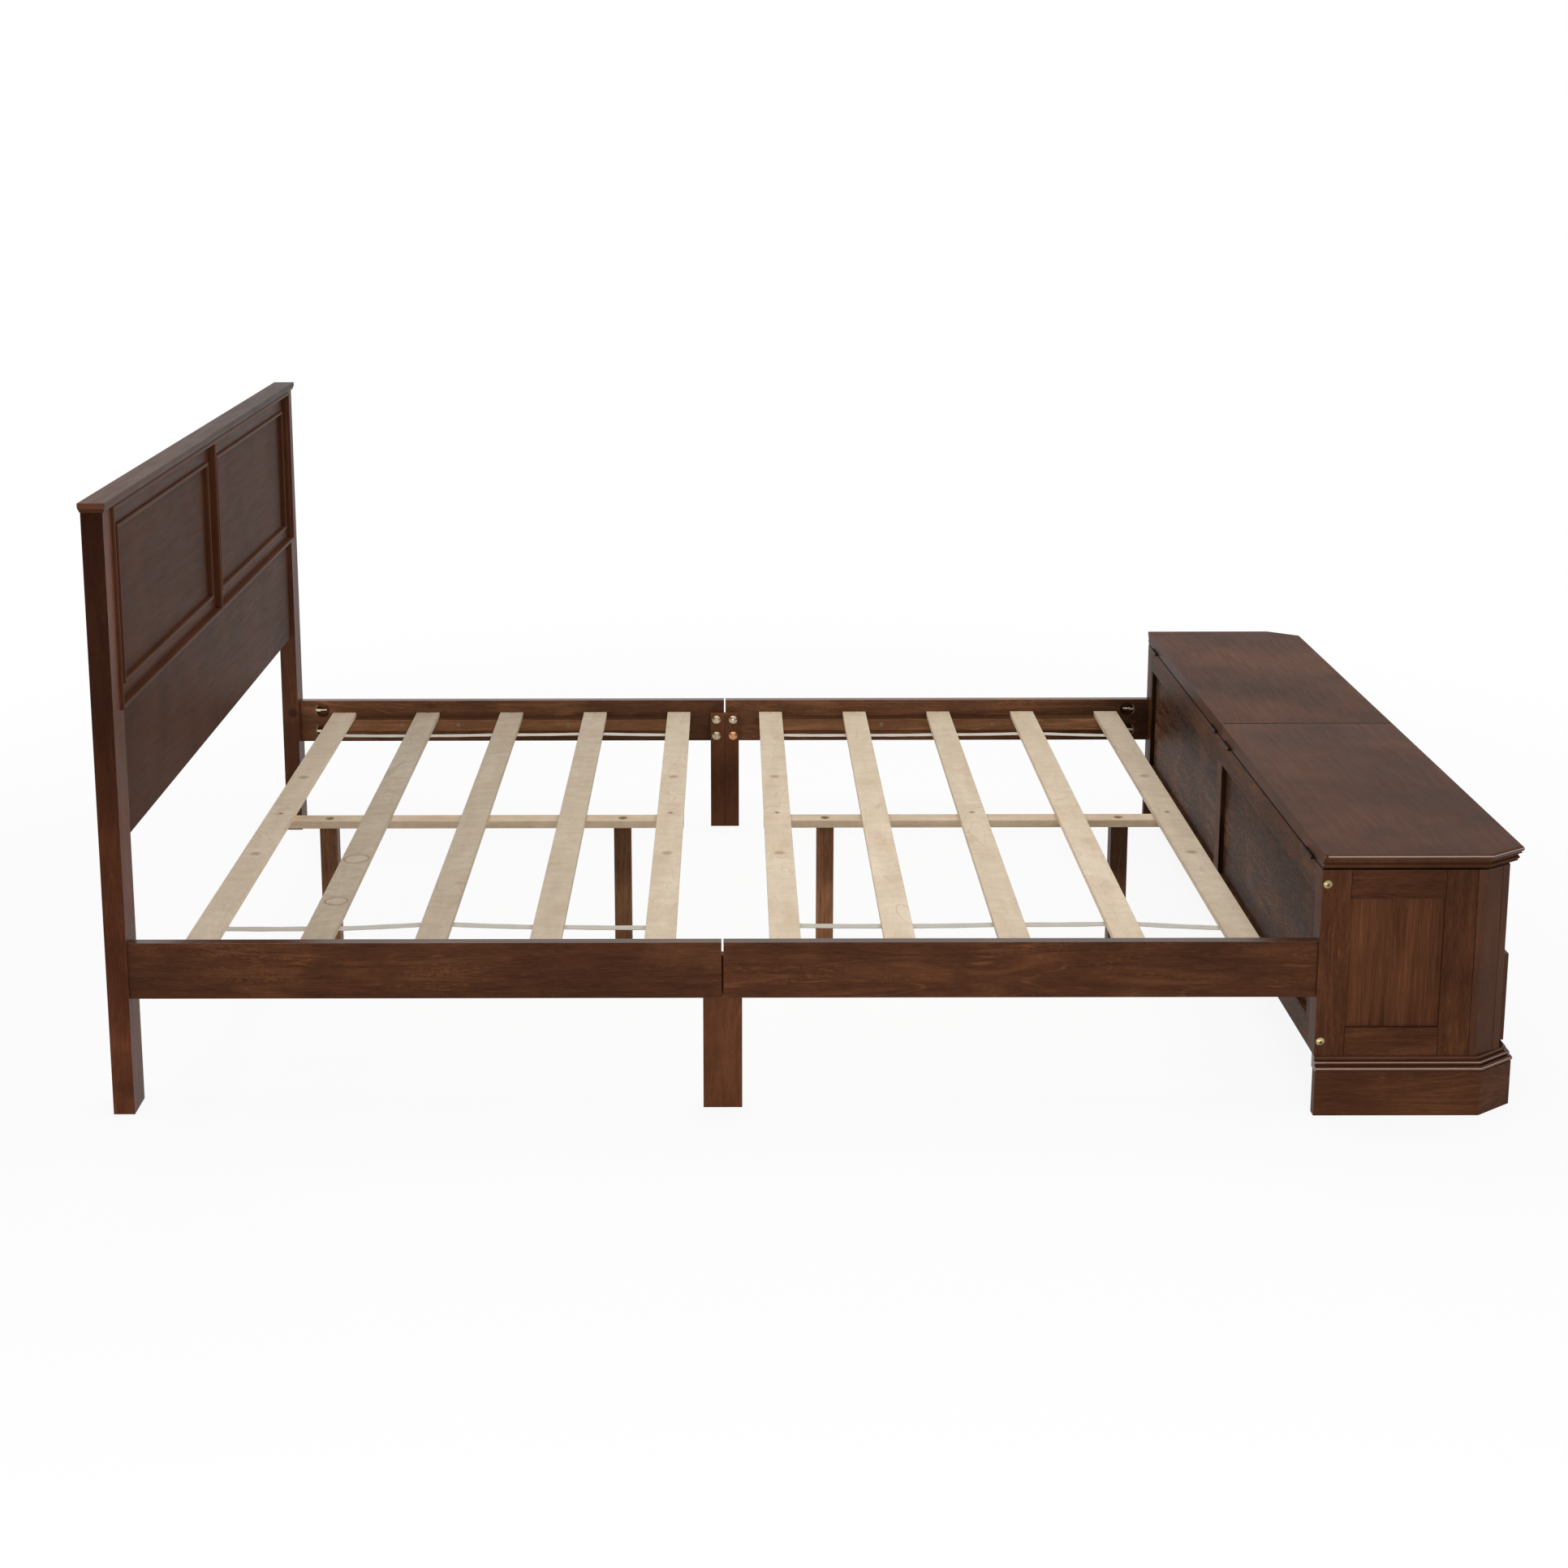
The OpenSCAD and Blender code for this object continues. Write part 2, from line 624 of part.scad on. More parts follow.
// Slanted corner post: a straight strip, the slant with its groove, and a rebated back.
module chest_cant(s) color(WALNUT) in_chest()
    mirror([0, s > 0 ? 0 : 1, 0]) translate([0, 0, base_z]) linear_extrude(chest_top - base_z)
        polygon([[cant_start - cant_strip, frame_in], [cant_start - cant_strip, side_y],
                 [cant_start, side_y],
                 cant_point(cant_l - cant_edge - cant_groove, 0),
                 cant_point(cant_l - cant_edge - cant_groove / 2, cant_groove),
                 cant_point(cant_l - cant_edge, 0),
                 [chest_d, cant_y], [front_x, cant_y], [cant_start - cant_rebate, frame_in]]);

back_t = 20;                                   // thickness of the back frame
side_bolt_x = back_t / 2;
side_bolt_z = [base_z + frame_rail_h / 2, chest_top - frame_rail_h / 2];
side_bolt_l = corner_post_w + back_stile_w - 4;
back_in = corner_in - back_stile_w;            // inner edge of the end stiles at the back
back_recess = 10;

module chest_back_frame() color(WALNUT_DARK) in_chest() {
    for (s = SIDES) difference() {
        side_block(s, 0, back_t, back_in, corner_in, base_z, chest_top);
        for (z = side_bolt_z) translate([side_bolt_x, s * (corner_in + 1), z])
            rotate([90 * s, 0, 0])
                cylinder(h = side_bolt_l - corner_post_w + 1, r = stud_d / 2 + fit_gap);
    }
    block([0, -back_centre_w / 2, base_z + frame_rail_h + seam],
          [back_t, back_centre_w / 2, chest_top - frame_rail_h - seam]);
    for (z = frame_rail_z)
        block([0, -back_in + seam, z], [back_t, back_in - seam, z + frame_rail_h]);
}

module chest_back_panels() color(WALNUT_DARK) in_chest()
    for (s = SIDES)
        side_block(s, back_recess, back_recess + thin_panel_t, back_centre_w / 2, back_in,
                   base_z + frame_rail_h, chest_top - frame_rail_h);

module chest_front_frame() color(WALNUT) in_chest() {
    for (s = SIDES)
        side_block(s, front_x, chest_d, opening_out, cant_y, base_z, chest_top);
    for (z = [[base_z, opening_low], [opening_high, opening_high + front_mid_h],
              [chest_top - frame_rail_h, chest_top]])
        block([front_x, -opening_out + seam, z[0]], [chest_d, opening_out - seam, z[1]]);
    for (z = [[opening_low, opening_high], [opening_high + front_mid_h, chest_top - frame_rail_h]])
        block([front_x, -opening_in, z[0] + seam], [chest_d, opening_in, z[1] - seam]);
}

module chest_front_panels() color(WALNUT) in_chest()
    for (s = SIDES)
        side_block(s, front_x, front_x + thin_panel_t, opening_in, opening_out,
                   opening_high + front_mid_h, chest_top - frame_rail_h);

module chest_partition() color(SLAT_WOOD) in_chest()
    block([back_t, -board_t / 2, base_z], [front_x, board_t / 2, chest_top]);

// The floors reach the side frames and are notched round the corner posts.
module chest_floors() color(SLAT_WOOD) in_chest()
    for (s = SIDES) mirror([0, s > 0 ? 0 : 1, 0]) translate([0, 0, floor_z])
        linear_extrude(floor_t)
            polygon([[back_t, board_t / 2], [front_x, board_t / 2], [front_x, cant_y],
                     [cant_start - cant_rebate, frame_in], [corner_post_d, frame_in],
                     [corner_post_d, corner_in], [back_t, corner_in]]);

// Bearers that carry the drawer boxes, from the back frame to the front frame.
runner_w = 20;
runner_h = 20;

module chest_runners() color(SLAT_WOOD) in_chest()
    for (s = SIDES) for (y = [box_in, box_out - runner_w])
        side_block(s, back_t, front_x, y, y + runner_w, opening_low - runner_h, opening_low);

function chest_outline(side_over, over) = [
    [0, -side_y - side_over],
    [cant_start + cant_lap, -side_y - side_over],
    [chest_d + over, -cant_y + cant_lap_y],
    [chest_d + over, cant_y - cant_lap_y],
    [cant_start + cant_lap, side_y + side_over],
    [0, side_y + side_over]];

// Moulding with two beads round the foot of the chest, on top of the plinth.
module chest_base_moulding() color(WALNUT) in_chest() translate([0, 0, plinth_h])
    mitred_run(chest_outline(plinth_side_over, front_over), -base_w, 3, base_h, gap = seam) {
        // lower bead, standing 2 mm out past the plinth
        translate([-base_w, 0]) square([base_w - 2, 10]);
        translate([-2.5, 5.5]) circle(4.5);
        // upper bead
        translate([-base_w, 0]) square([base_w - 7, 18]);
        translate([-6, 15.2]) circle(3.2);
        // neck and plain ledge against the body
        translate([-base_w, 0]) square([base_w - 11, base_h]);
        translate([-base_w, 20.5]) square([base_w - 9, base_h - 20.5]);
    }

module chest_plinth() color(WALNUT) in_chest()
    mitred_run(chest_outline(plinth_side_over, front_over), -plinth_t, 0, plinth_h, gap = seam)
        translate([-plinth_t, 0]) square([plinth_t, plinth_h]);

module chest_side_bolts() color(ZINC) in_chest()
    for (s = SIDES) for (z = side_bolt_z)
        translate([side_bolt_x, s * side_y, z])
            rotate([-90 * s, 0, 0]) dome_bolt(side_bolt_head, 3, side_bolt_l, socket_d);

// Small pads that hold the lids up at the front, level with the hinge leaves.
bumper_d = 12;

module lid_bumpers() color(DARK_STEEL) in_chest()
    for (s = SIDES) for (y = [60, cant_y - 60])
        translate([chest_d - board_t / 2, s * y, chest_top])
            cylinder(h = lid_gap - play, d = bumper_d);

// ---------- lids and hinges ----------

// Section of the lid's edge: a round nose above, a quirk, a lip over a cove, a small bead below.
module lid_edge_section(w) {
    nose_r = 5;
    quirk = 1.5;
    quirk_in = 4;                              // how far the quirk lies behind the nose
    lip = 1;
    cove_r = 6;
    back = 9;                                  // how far the lower edge lies behind the nose
    bead_r = 2.8;
    quirk_low = lid_t - 2 * nose_r - quirk;
    cove_low = quirk_low - lip - cove_r;
    translate([-w, 0]) square([w - back, lid_t]);
    translate([-w, quirk_low + quirk]) square([w - nose_r, 2 * nose_r]);
    translate([-nose_r, lid_t - nose_r]) circle(nose_r);
    translate([-w, quirk_low - lip / 2]) square([w - quirk_in, quirk + lip]);
    difference() {
        translate([-w, cove_low]) square([w - back + cove_r, cove_r + lip]);
        translate([cove_r - back, cove_low]) circle(cove_r);
    }
    translate([-back, cove_low - bead_r + 0.3]) circle(bead_r);
}

// A slab whose plan is convex, with the section of the 2D child cut along each run of the
// open path. Every cut runs right through, so that they meet in true mitres.
module edged_slab(path) intersection_for(i = [0 : len(path) - 2]) {
    a = path[i];
    b = path[i + 1];
    out = outward(a, b);
    start = b + side_y * unit(b - a);
    translate([start.x, start.y, 0])
        rotate([0, 0, atan2(out.y, out.x)])
            rotate([90, 0, 0])
                linear_extrude(norm(b - a) + 2 * side_y) children();
}

module lid(s) color(WALNUT) in_chest() translate([0, 0, lid_z]) {
    w = 14;
    whole = chest_outline(lid_side_over, front_over);
    near = [whole[0], whole[1], whole[2], [whole[2].x, -lid_split / 2]];
    mirror([0, s > 0 ? 1 : 0, 0]) intersection() {
        edged_slab(near) {
            lid_edge_section(w);
            translate([-2 * side_y, 0]) square([2 * side_y - w + 1, lid_t]);
        }
        translate([0, -side_y * 2, -1]) cube([chest_d * 2, side_y * 2 - lid_split / 2, lid_t + 2]);
    }
}

// Knuckle number k of three, with room for the pin.
module knuckle(k) {
    l = (hinge_l - 2 * knuckle_gap) / 3;
    translate([axis_x, -hinge_l / 2 + k * (l + knuckle_gap), axis_z]) rotate([-90, 0, 0])
        difference() {
            cylinder(h = l, r = knuckle_r);
            translate([0, 0, -1]) cylinder(h = l + 2, r = hinge_pin_r + fit_gap);
        }
}

// The neck that joins knuckle k to its leaf, clear of the pin.
module neck(k, z0, z1) {
    l = (hinge_l - 2 * knuckle_gap) / 3;
    y0 = -hinge_l / 2 + k * (l + knuckle_gap);
    block([axis_x + hinge_pin_r + 0.5, y0, z0], [1, y0 + l, z1]);
}

module leaf(z0, z1) block([0.2, -hinge_l / 2, z0], [hinge_leaf_d, hinge_l / 2, z1]);

hinge_ys = [inner_hinge_y, outer_hinge_y];

module hinges_fixed() color(DARK_STEEL) in_chest()
    for (s = SIDES) for (y = hinge_ys) translate([0, s * y, 0]) {
        for (k = [0, 2]) {
            knuckle(k);
            neck(k, chest_top, chest_top + leaf_t);
        }
        leaf(chest_top, chest_top + leaf_t);
        // pin, held in the outer knuckles
        translate([axis_x, -hinge_l / 2, axis_z]) rotate([-90, 0, 0])
            cylinder(h = hinge_l, r = hinge_pin_r);
        for (end = [-hinge_l / 2, hinge_l / 2 - 2]) translate([axis_x, end, axis_z])
            rotate([-90, 0, 0]) cylinder(h = 2, r = knuckle_r - 0.5);
    }

module hinge_leaves(s) color(DARK_STEEL) in_chest()
    for (y = hinge_ys) translate([0, s * y, 0]) {
        knuckle(1);
        neck(1, lid_z - leaf_t, lid_z);
        leaf(lid_z - leaf_t, lid_z);
    }

// ---------- drawers ----------

module drawer_front(s) color(WALNUT) in_chest()
    side_block(s, drawer_face_x, drawer_face_x + drawer_front_t, drawer_gap / 2,
               side_y - drawer_end, drawer_low, drawer_top);

// Two sides, a back and an inner front, butted, with the bottom between them.
drawer_sill = 6;                               // from the drawer sides' lower edge to the bottom

module drawer_box(s) color(SLAT_WOOD) in_chest() {
    x1 = drawer_face_x;
    x0 = x1 - drawer_box_l;
    z1 = box_z + drawer_side_h;
    for (y = [box_in, box_out - drawer_side_t])
        side_block(s, x0, x1, y, y + drawer_side_t, box_z, z1);
    for (x = [x0, x1 - drawer_side_t])
        side_block(s, x, x + drawer_side_t, box_in + drawer_side_t + seam,
                   box_out - drawer_side_t - seam, box_z, z1);
    side_block(s, x0 + drawer_side_t + seam, x1 - drawer_side_t - seam,
               box_in + drawer_side_t + seam, box_out - drawer_side_t - seam,
               box_z + drawer_sill, box_z + drawer_sill + drawer_bottom_t);
}

// Round wooden knobs, turned: a foot, a waist and a domed head.
module drawer_knobs(s) color(WALNUT) in_chest()
    for (share = [0.25, 0.75])
        translate([knob_face_x, s * (drawer_gap / 2 + share * (side_y - drawer_end)),
                   (drawer_low + drawer_top) / 2])
            rotate([0, 90, 0]) knob();

module knob() rotate_extrude() {
    head_r = knob_d / 2;
    head_t = knob_l * 0.5;
    difference() {
        union() {
            square([head_r * 0.62, 3]);
            square([head_r * 0.42, knob_l - head_t + 2]);
            intersection() {
                translate([0, knob_l - head_r * 1.6]) circle(head_r * 1.6);
                translate([0, knob_l - head_t]) square([head_r, head_t]);
            }
        }
        translate([-head_r * 2, 0]) square([head_r * 2, knob_l]);
    }
}

// ---------- the nodes ----------

hb_post(-1);  // hb_post_near
hb_post(1);  // hb_post_far
hb_cap();
hb_top_rail();
hb_mid_rail();
hb_end_stiles();
hb_centre_stile();
hb_fields();
hb_lower_panel();
hb_frame_bead();
field_bead(-1);  // hb_field_bead_near
field_bead(1);  // hb_field_bead_far
hb_centre_bead();
side_rail(-1, false);  // rail_near_head
side_rail(-1, true);  // rail_near_foot
side_rail(1, false);  // rail_far_head
side_rail(1, true);  // rail_far_foot
mid_leg(-1);  // mid_leg_near
mid_leg(1);  // mid_leg_far
mid_leg_bolts();
cleats(-1);  // cleats_near
cleats(1);  // cleats_far
rail_studs();
rail_nuts();
rail_washers();
slats(0);  // slats_head
slats(1);  // slats_foot
slat_straps();
centre_rail(0);  // centre_rail_head
centre_rail(1);  // centre_rail_foot
centre_legs();
centre_leg_bolts();
chest_side(-1);  // chest_side_near
chest_side(1);  // chest_side_far
chest_side_panels();
chest_cant(-1);  // chest_cant_near
chest_cant(1);  // chest_cant_far
chest_back_frame();
chest_back_panels();
chest_front_frame();
chest_front_panels();
chest_floors();
chest_partition();
chest_runners();
chest_base_moulding();
chest_plinth();
chest_side_bolts();
lid_bumpers();
lid(-1);  // lid_near
lid(1);  // lid_far
hinges_fixed();
hinge_leaves(-1);  // hinge_leaves_near
hinge_leaves(1);  // hinge_leaves_far
drawer_front(-1);  // drawer_front_near
drawer_box(-1);  // drawer_box_near
drawer_front(1);  // drawer_front_far
drawer_box(1);  // drawer_box_far
drawer_knobs(-1);  // drawer_knobs_near
drawer_knobs(1);  // drawer_knobs_far
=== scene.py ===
"""Looks for the platform bed with a blanket chest as its footboard. Metres, CAD frame."""
import math

import bpy
import bmesh
from mathutils import Matrix, Vector


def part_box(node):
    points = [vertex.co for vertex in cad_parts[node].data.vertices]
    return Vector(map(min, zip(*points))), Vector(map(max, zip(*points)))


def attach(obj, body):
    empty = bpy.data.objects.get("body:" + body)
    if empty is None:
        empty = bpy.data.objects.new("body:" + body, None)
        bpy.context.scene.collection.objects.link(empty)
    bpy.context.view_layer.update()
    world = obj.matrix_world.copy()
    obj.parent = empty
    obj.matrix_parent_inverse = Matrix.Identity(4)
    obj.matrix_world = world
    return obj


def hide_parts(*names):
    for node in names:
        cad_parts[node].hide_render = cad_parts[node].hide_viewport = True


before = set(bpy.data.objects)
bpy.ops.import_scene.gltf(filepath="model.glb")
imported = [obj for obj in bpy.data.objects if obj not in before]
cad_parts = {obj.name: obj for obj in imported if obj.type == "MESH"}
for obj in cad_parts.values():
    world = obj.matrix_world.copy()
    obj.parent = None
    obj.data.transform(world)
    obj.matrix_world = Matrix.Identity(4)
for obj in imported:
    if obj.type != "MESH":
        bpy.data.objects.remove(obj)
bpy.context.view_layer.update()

# ---------- main sizes, read from the frame ----------

HB_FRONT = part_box("hb_post_near")[1][0]     # front face of the headboard posts
POST_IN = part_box("hb_post_far")[0][1]       # inner face of the far headboard post
CLEAT_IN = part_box("cleats_far")[0][1]       # inner face of the far cleats
CLEAT_LOW, CLEAT_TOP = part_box("cleats_far")[0][2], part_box("cleats_far")[1][2]
SLAT_LOW, SLAT_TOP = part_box("slats_head")[0][2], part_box("slats_head")[1][2]
PANEL_LOW, PANEL_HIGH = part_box("chest_side_panels")
LID_LOW, LID_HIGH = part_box("lid_near")

# ---------- sizes that no box of the frame gives ----------

SLAT_W = 0.055                      # width of a slat
SLATS_IN_HALF = 5
BACK_CENTRE = 0.04                  # width of the middle stile of the chest's back
FRONT_LOW_RAIL = (0.0, 0.13)        # heights of the front's rails under and over the drawers
FRONT_MID_RAIL = (0.262, 0.292)
LEG_BOLT_R, SIDE_BOLT_R = 0.010, 0.0075     # heads of the bolts of middle legs and chest sides
HAIR = 0.0006                       # half the width of a drawn joint line
FAR = 9.0                           # a limit beyond the bed

# from the centre line of the bed
SIDE_IN = 0.765                     # to the side runs of plinth and base moulding
FRONT_STILE_IN = 0.704              # to the end stiles of the chest's front
LEG_BOLT_IN = 0.744                 # to the inner heads of the middle legs' bolts
STRAP_Y = 0.605                     # to the webbing
PLUG_Y = 0.248                      # to the plugs in the end slats

# in millimetres from the front of the headboard posts
CENTRE_LEGS = (206, 815, 1235, 1844)
CLEAT_SCREWS = (247, 383, 649, 1403, 1670, 1838)


def bed_x(mm):
    """Frame x of a place given in millimetres from the front of the headboard posts."""
    return HB_FRONT + mm / 1000


def slat_xs(node):
    """Frame x of the middle of each slat of a node."""
    lo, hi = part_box(node)
    step = (hi[0] - lo[0] - SLAT_W) / (SLATS_IN_HALF - 1)
    return [lo[0] + SLAT_W / 2 + k * step for k in range(SLATS_IN_HALF)]


def layer(place, below, above=None):
    """The limits of a layer about a place on an axis."""
    return (place - below, place + (below if above is None else above))


SLAT_XS = slat_xs("slats_head") + slat_xs("slats_foot")
# numbers of the slats in the head half and in the foot half
HALVES = (range(SLATS_IN_HALF), range(SLATS_IN_HALF, 2 * SLATS_IN_HALF))


# ---------- small helpers for shaders ----------

BEVEL_SAMPLES = 6


class Nodes:
    """A short way to write the nodes of a material or a world."""

    def __init__(self, owner, output):
        owner.use_nodes = True
        self.nt = owner.node_tree
        self.nt.nodes.clear()
        self.out = self.new(output)

    def new(self, kind, **settings):
        n = self.nt.nodes.new("ShaderNode" + kind)
        for key, value in settings.items():
            setattr(n, key, value)
        return n

    def put(self, socket, value):
        """Links a socket, or sets a plain value."""
        if isinstance(value, bpy.types.NodeSocket):
            self.nt.links.new(value, socket)
        elif value is not None:
            socket.default_value = value

    def fill(self, n, values):
        """Puts values into a node's inputs by name or number, and gives the node back."""
        for key, value in values.items():
            self.put(n.inputs[key], value)
        return n


class Tree(Nodes):
    """A material with one Principled shader, and short ways to write what feeds it."""

    def __init__(self, name):
        self.mat = bpy.data.materials.new(name)
        super().__init__(self.mat, "OutputMaterial")
        self.bsdf = self.new("BsdfPrincipled")
        self.put(self.out.inputs[0], self.bsdf.outputs[0])
        self.coord = self.new("TexCoord").outputs["Object"]
        self.xyz = None

    def math(self, op, *values):
        return self.fill(self.new("Math", operation=op), dict(enumerate(values))).outputs[0]

    def times(self, a, b):
        return self.math("MULTIPLY", a, b)

    def axis(self, k):
        if self.xyz is None:
            self.xyz = self.fill(self.new("SeparateXYZ"), {0: self.coord}).outputs
        return self.xyz[k]

    def scaled(self, vector, scale, offset=(0, 0, 0)):
        values = {"Vector": vector, "Scale": scale, "Location": offset}
        return self.fill(self.new("Mapping"), values).outputs[0]

    def noise(self, vector, scale, detail=2.0, rough=0.5, distort=0.0):
        values = {"Vector": vector, "Scale": scale, "Detail": detail, "Roughness": rough,
                  "Distortion": distort}
        return self.fill(self.new("TexNoise"), values).outputs["Fac"]

    def span(self, value, lo, hi, to_lo=0.0, to_hi=1.0):
        """Maps lo to to_lo and hi to to_hi, and stops there."""
        values = {"Value": value, "From Min": lo, "From Max": hi, "To Min": to_lo, "To Max": to_hi}
        return self.fill(self.new("MapRange", clamp=True), values).outputs[0]

    def mix(self, fac, a, b):
        a, b = (v if isinstance(v, bpy.types.NodeSocket) else (*v, 1.0) for v in (a, b))
        return self.fill(self.new("Mix", data_type="RGBA"), {0: fac, 6: a, 7: b}).outputs[2]

    def mix_vec(self, fac, a, b):
        return self.fill(self.new("Mix", data_type="VECTOR"), {0: fac, 4: a, 5: b}).outputs[1]

    def shaded(self, colour, factor):
        n = self.new("VectorMath", operation="SCALE")
        return self.fill(n, {0: colour, "Scale": factor}).outputs[0]

    def box_mask(self, box):
        """1 inside the box ((x0, x1), (y0, y1), (z0, z1)); None leaves an axis free."""
        m = None
        for k, lim in enumerate(box):
            if lim is not None:
                part = self.times(self.math("GREATER_THAN", self.axis(k), lim[0]),
                                  self.math("LESS_THAN", self.axis(k), lim[1]))
                m = part if m is None else self.times(m, part)
        return m

    def distance(self, place):
        n = self.new("VectorMath", operation="DISTANCE")
        return self.fill(n, {0: self.coord, 1: place}).outputs["Value"]

    def up(self):
        """How far the surface faces up, -1 to 1."""
        normal = self.new("TexCoord").outputs["Normal"]
        return self.fill(self.new("SeparateXYZ"), {0: normal}).outputs[2]

    def contour(self, field, count, width):
        """Thin lines where count times the field passes a whole number and a half."""
        f = self.math("FRACT", self.times(field, count))
        return self.span(self.math("ABSOLUTE", self.math("SUBTRACT", f, 0.5)), width, 0.0)

    def bevel(self, radius):
        return self.fill(self.new("Bevel", samples=BEVEL_SAMPLES), {"Radius": radius}).outputs[0]

    def bump(self, height, distance, strength=1.0, edge=0.0):
        n = self.new("Bump")
        self.fill(n, {"Strength": strength, "Distance": distance, "Height": height})
        if edge:
            self.put(n.inputs["Normal"], self.bevel(edge))
        self.put(self.bsdf.inputs["Normal"], n.outputs[0])

    def edges(self, radius):
        """1 on sharp edges, 0 on flat faces."""
        flat = self.new("NewGeometry").outputs["Normal"]
        n = self.new("VectorMath", operation="DOT_PRODUCT")
        self.fill(n, {0: self.bevel(radius), 1: flat})
        return self.span(n.outputs["Value"], 0.995, 0.90)

    def set(self, **values):
        """Sets or links inputs of the Principled shader."""
        for k, v in values.items():
            self.put(self.bsdf.inputs[k.replace("_", " ")], v)


def along(axis, cross, run=1.0):
    """Texture scale for a board whose grain runs along an axis."""
    return tuple(run if a == axis else cross for a in "xyz")


# ---------- stained wood ----------

MID_STAIN, LIGHT_STAIN, WORN_STAIN = 0.080, 0.165, 0.17
WORN_RADIUS = 0.0016                # how far from an edge the stain is rubbed off
JOINT_AND_SHADOW_DARK = 0.72                   # what a joint line, and a painted shadow line, takes from the colour


def stain(k, g=0.35, b=0.155):
    """The walnut stain's colour at strength k."""
    return (k, k * g, k * b)


CREST_HIGHLIGHT = stain(0.46, 0.68, 0.54)     # a highlight painted along the crest of a bead
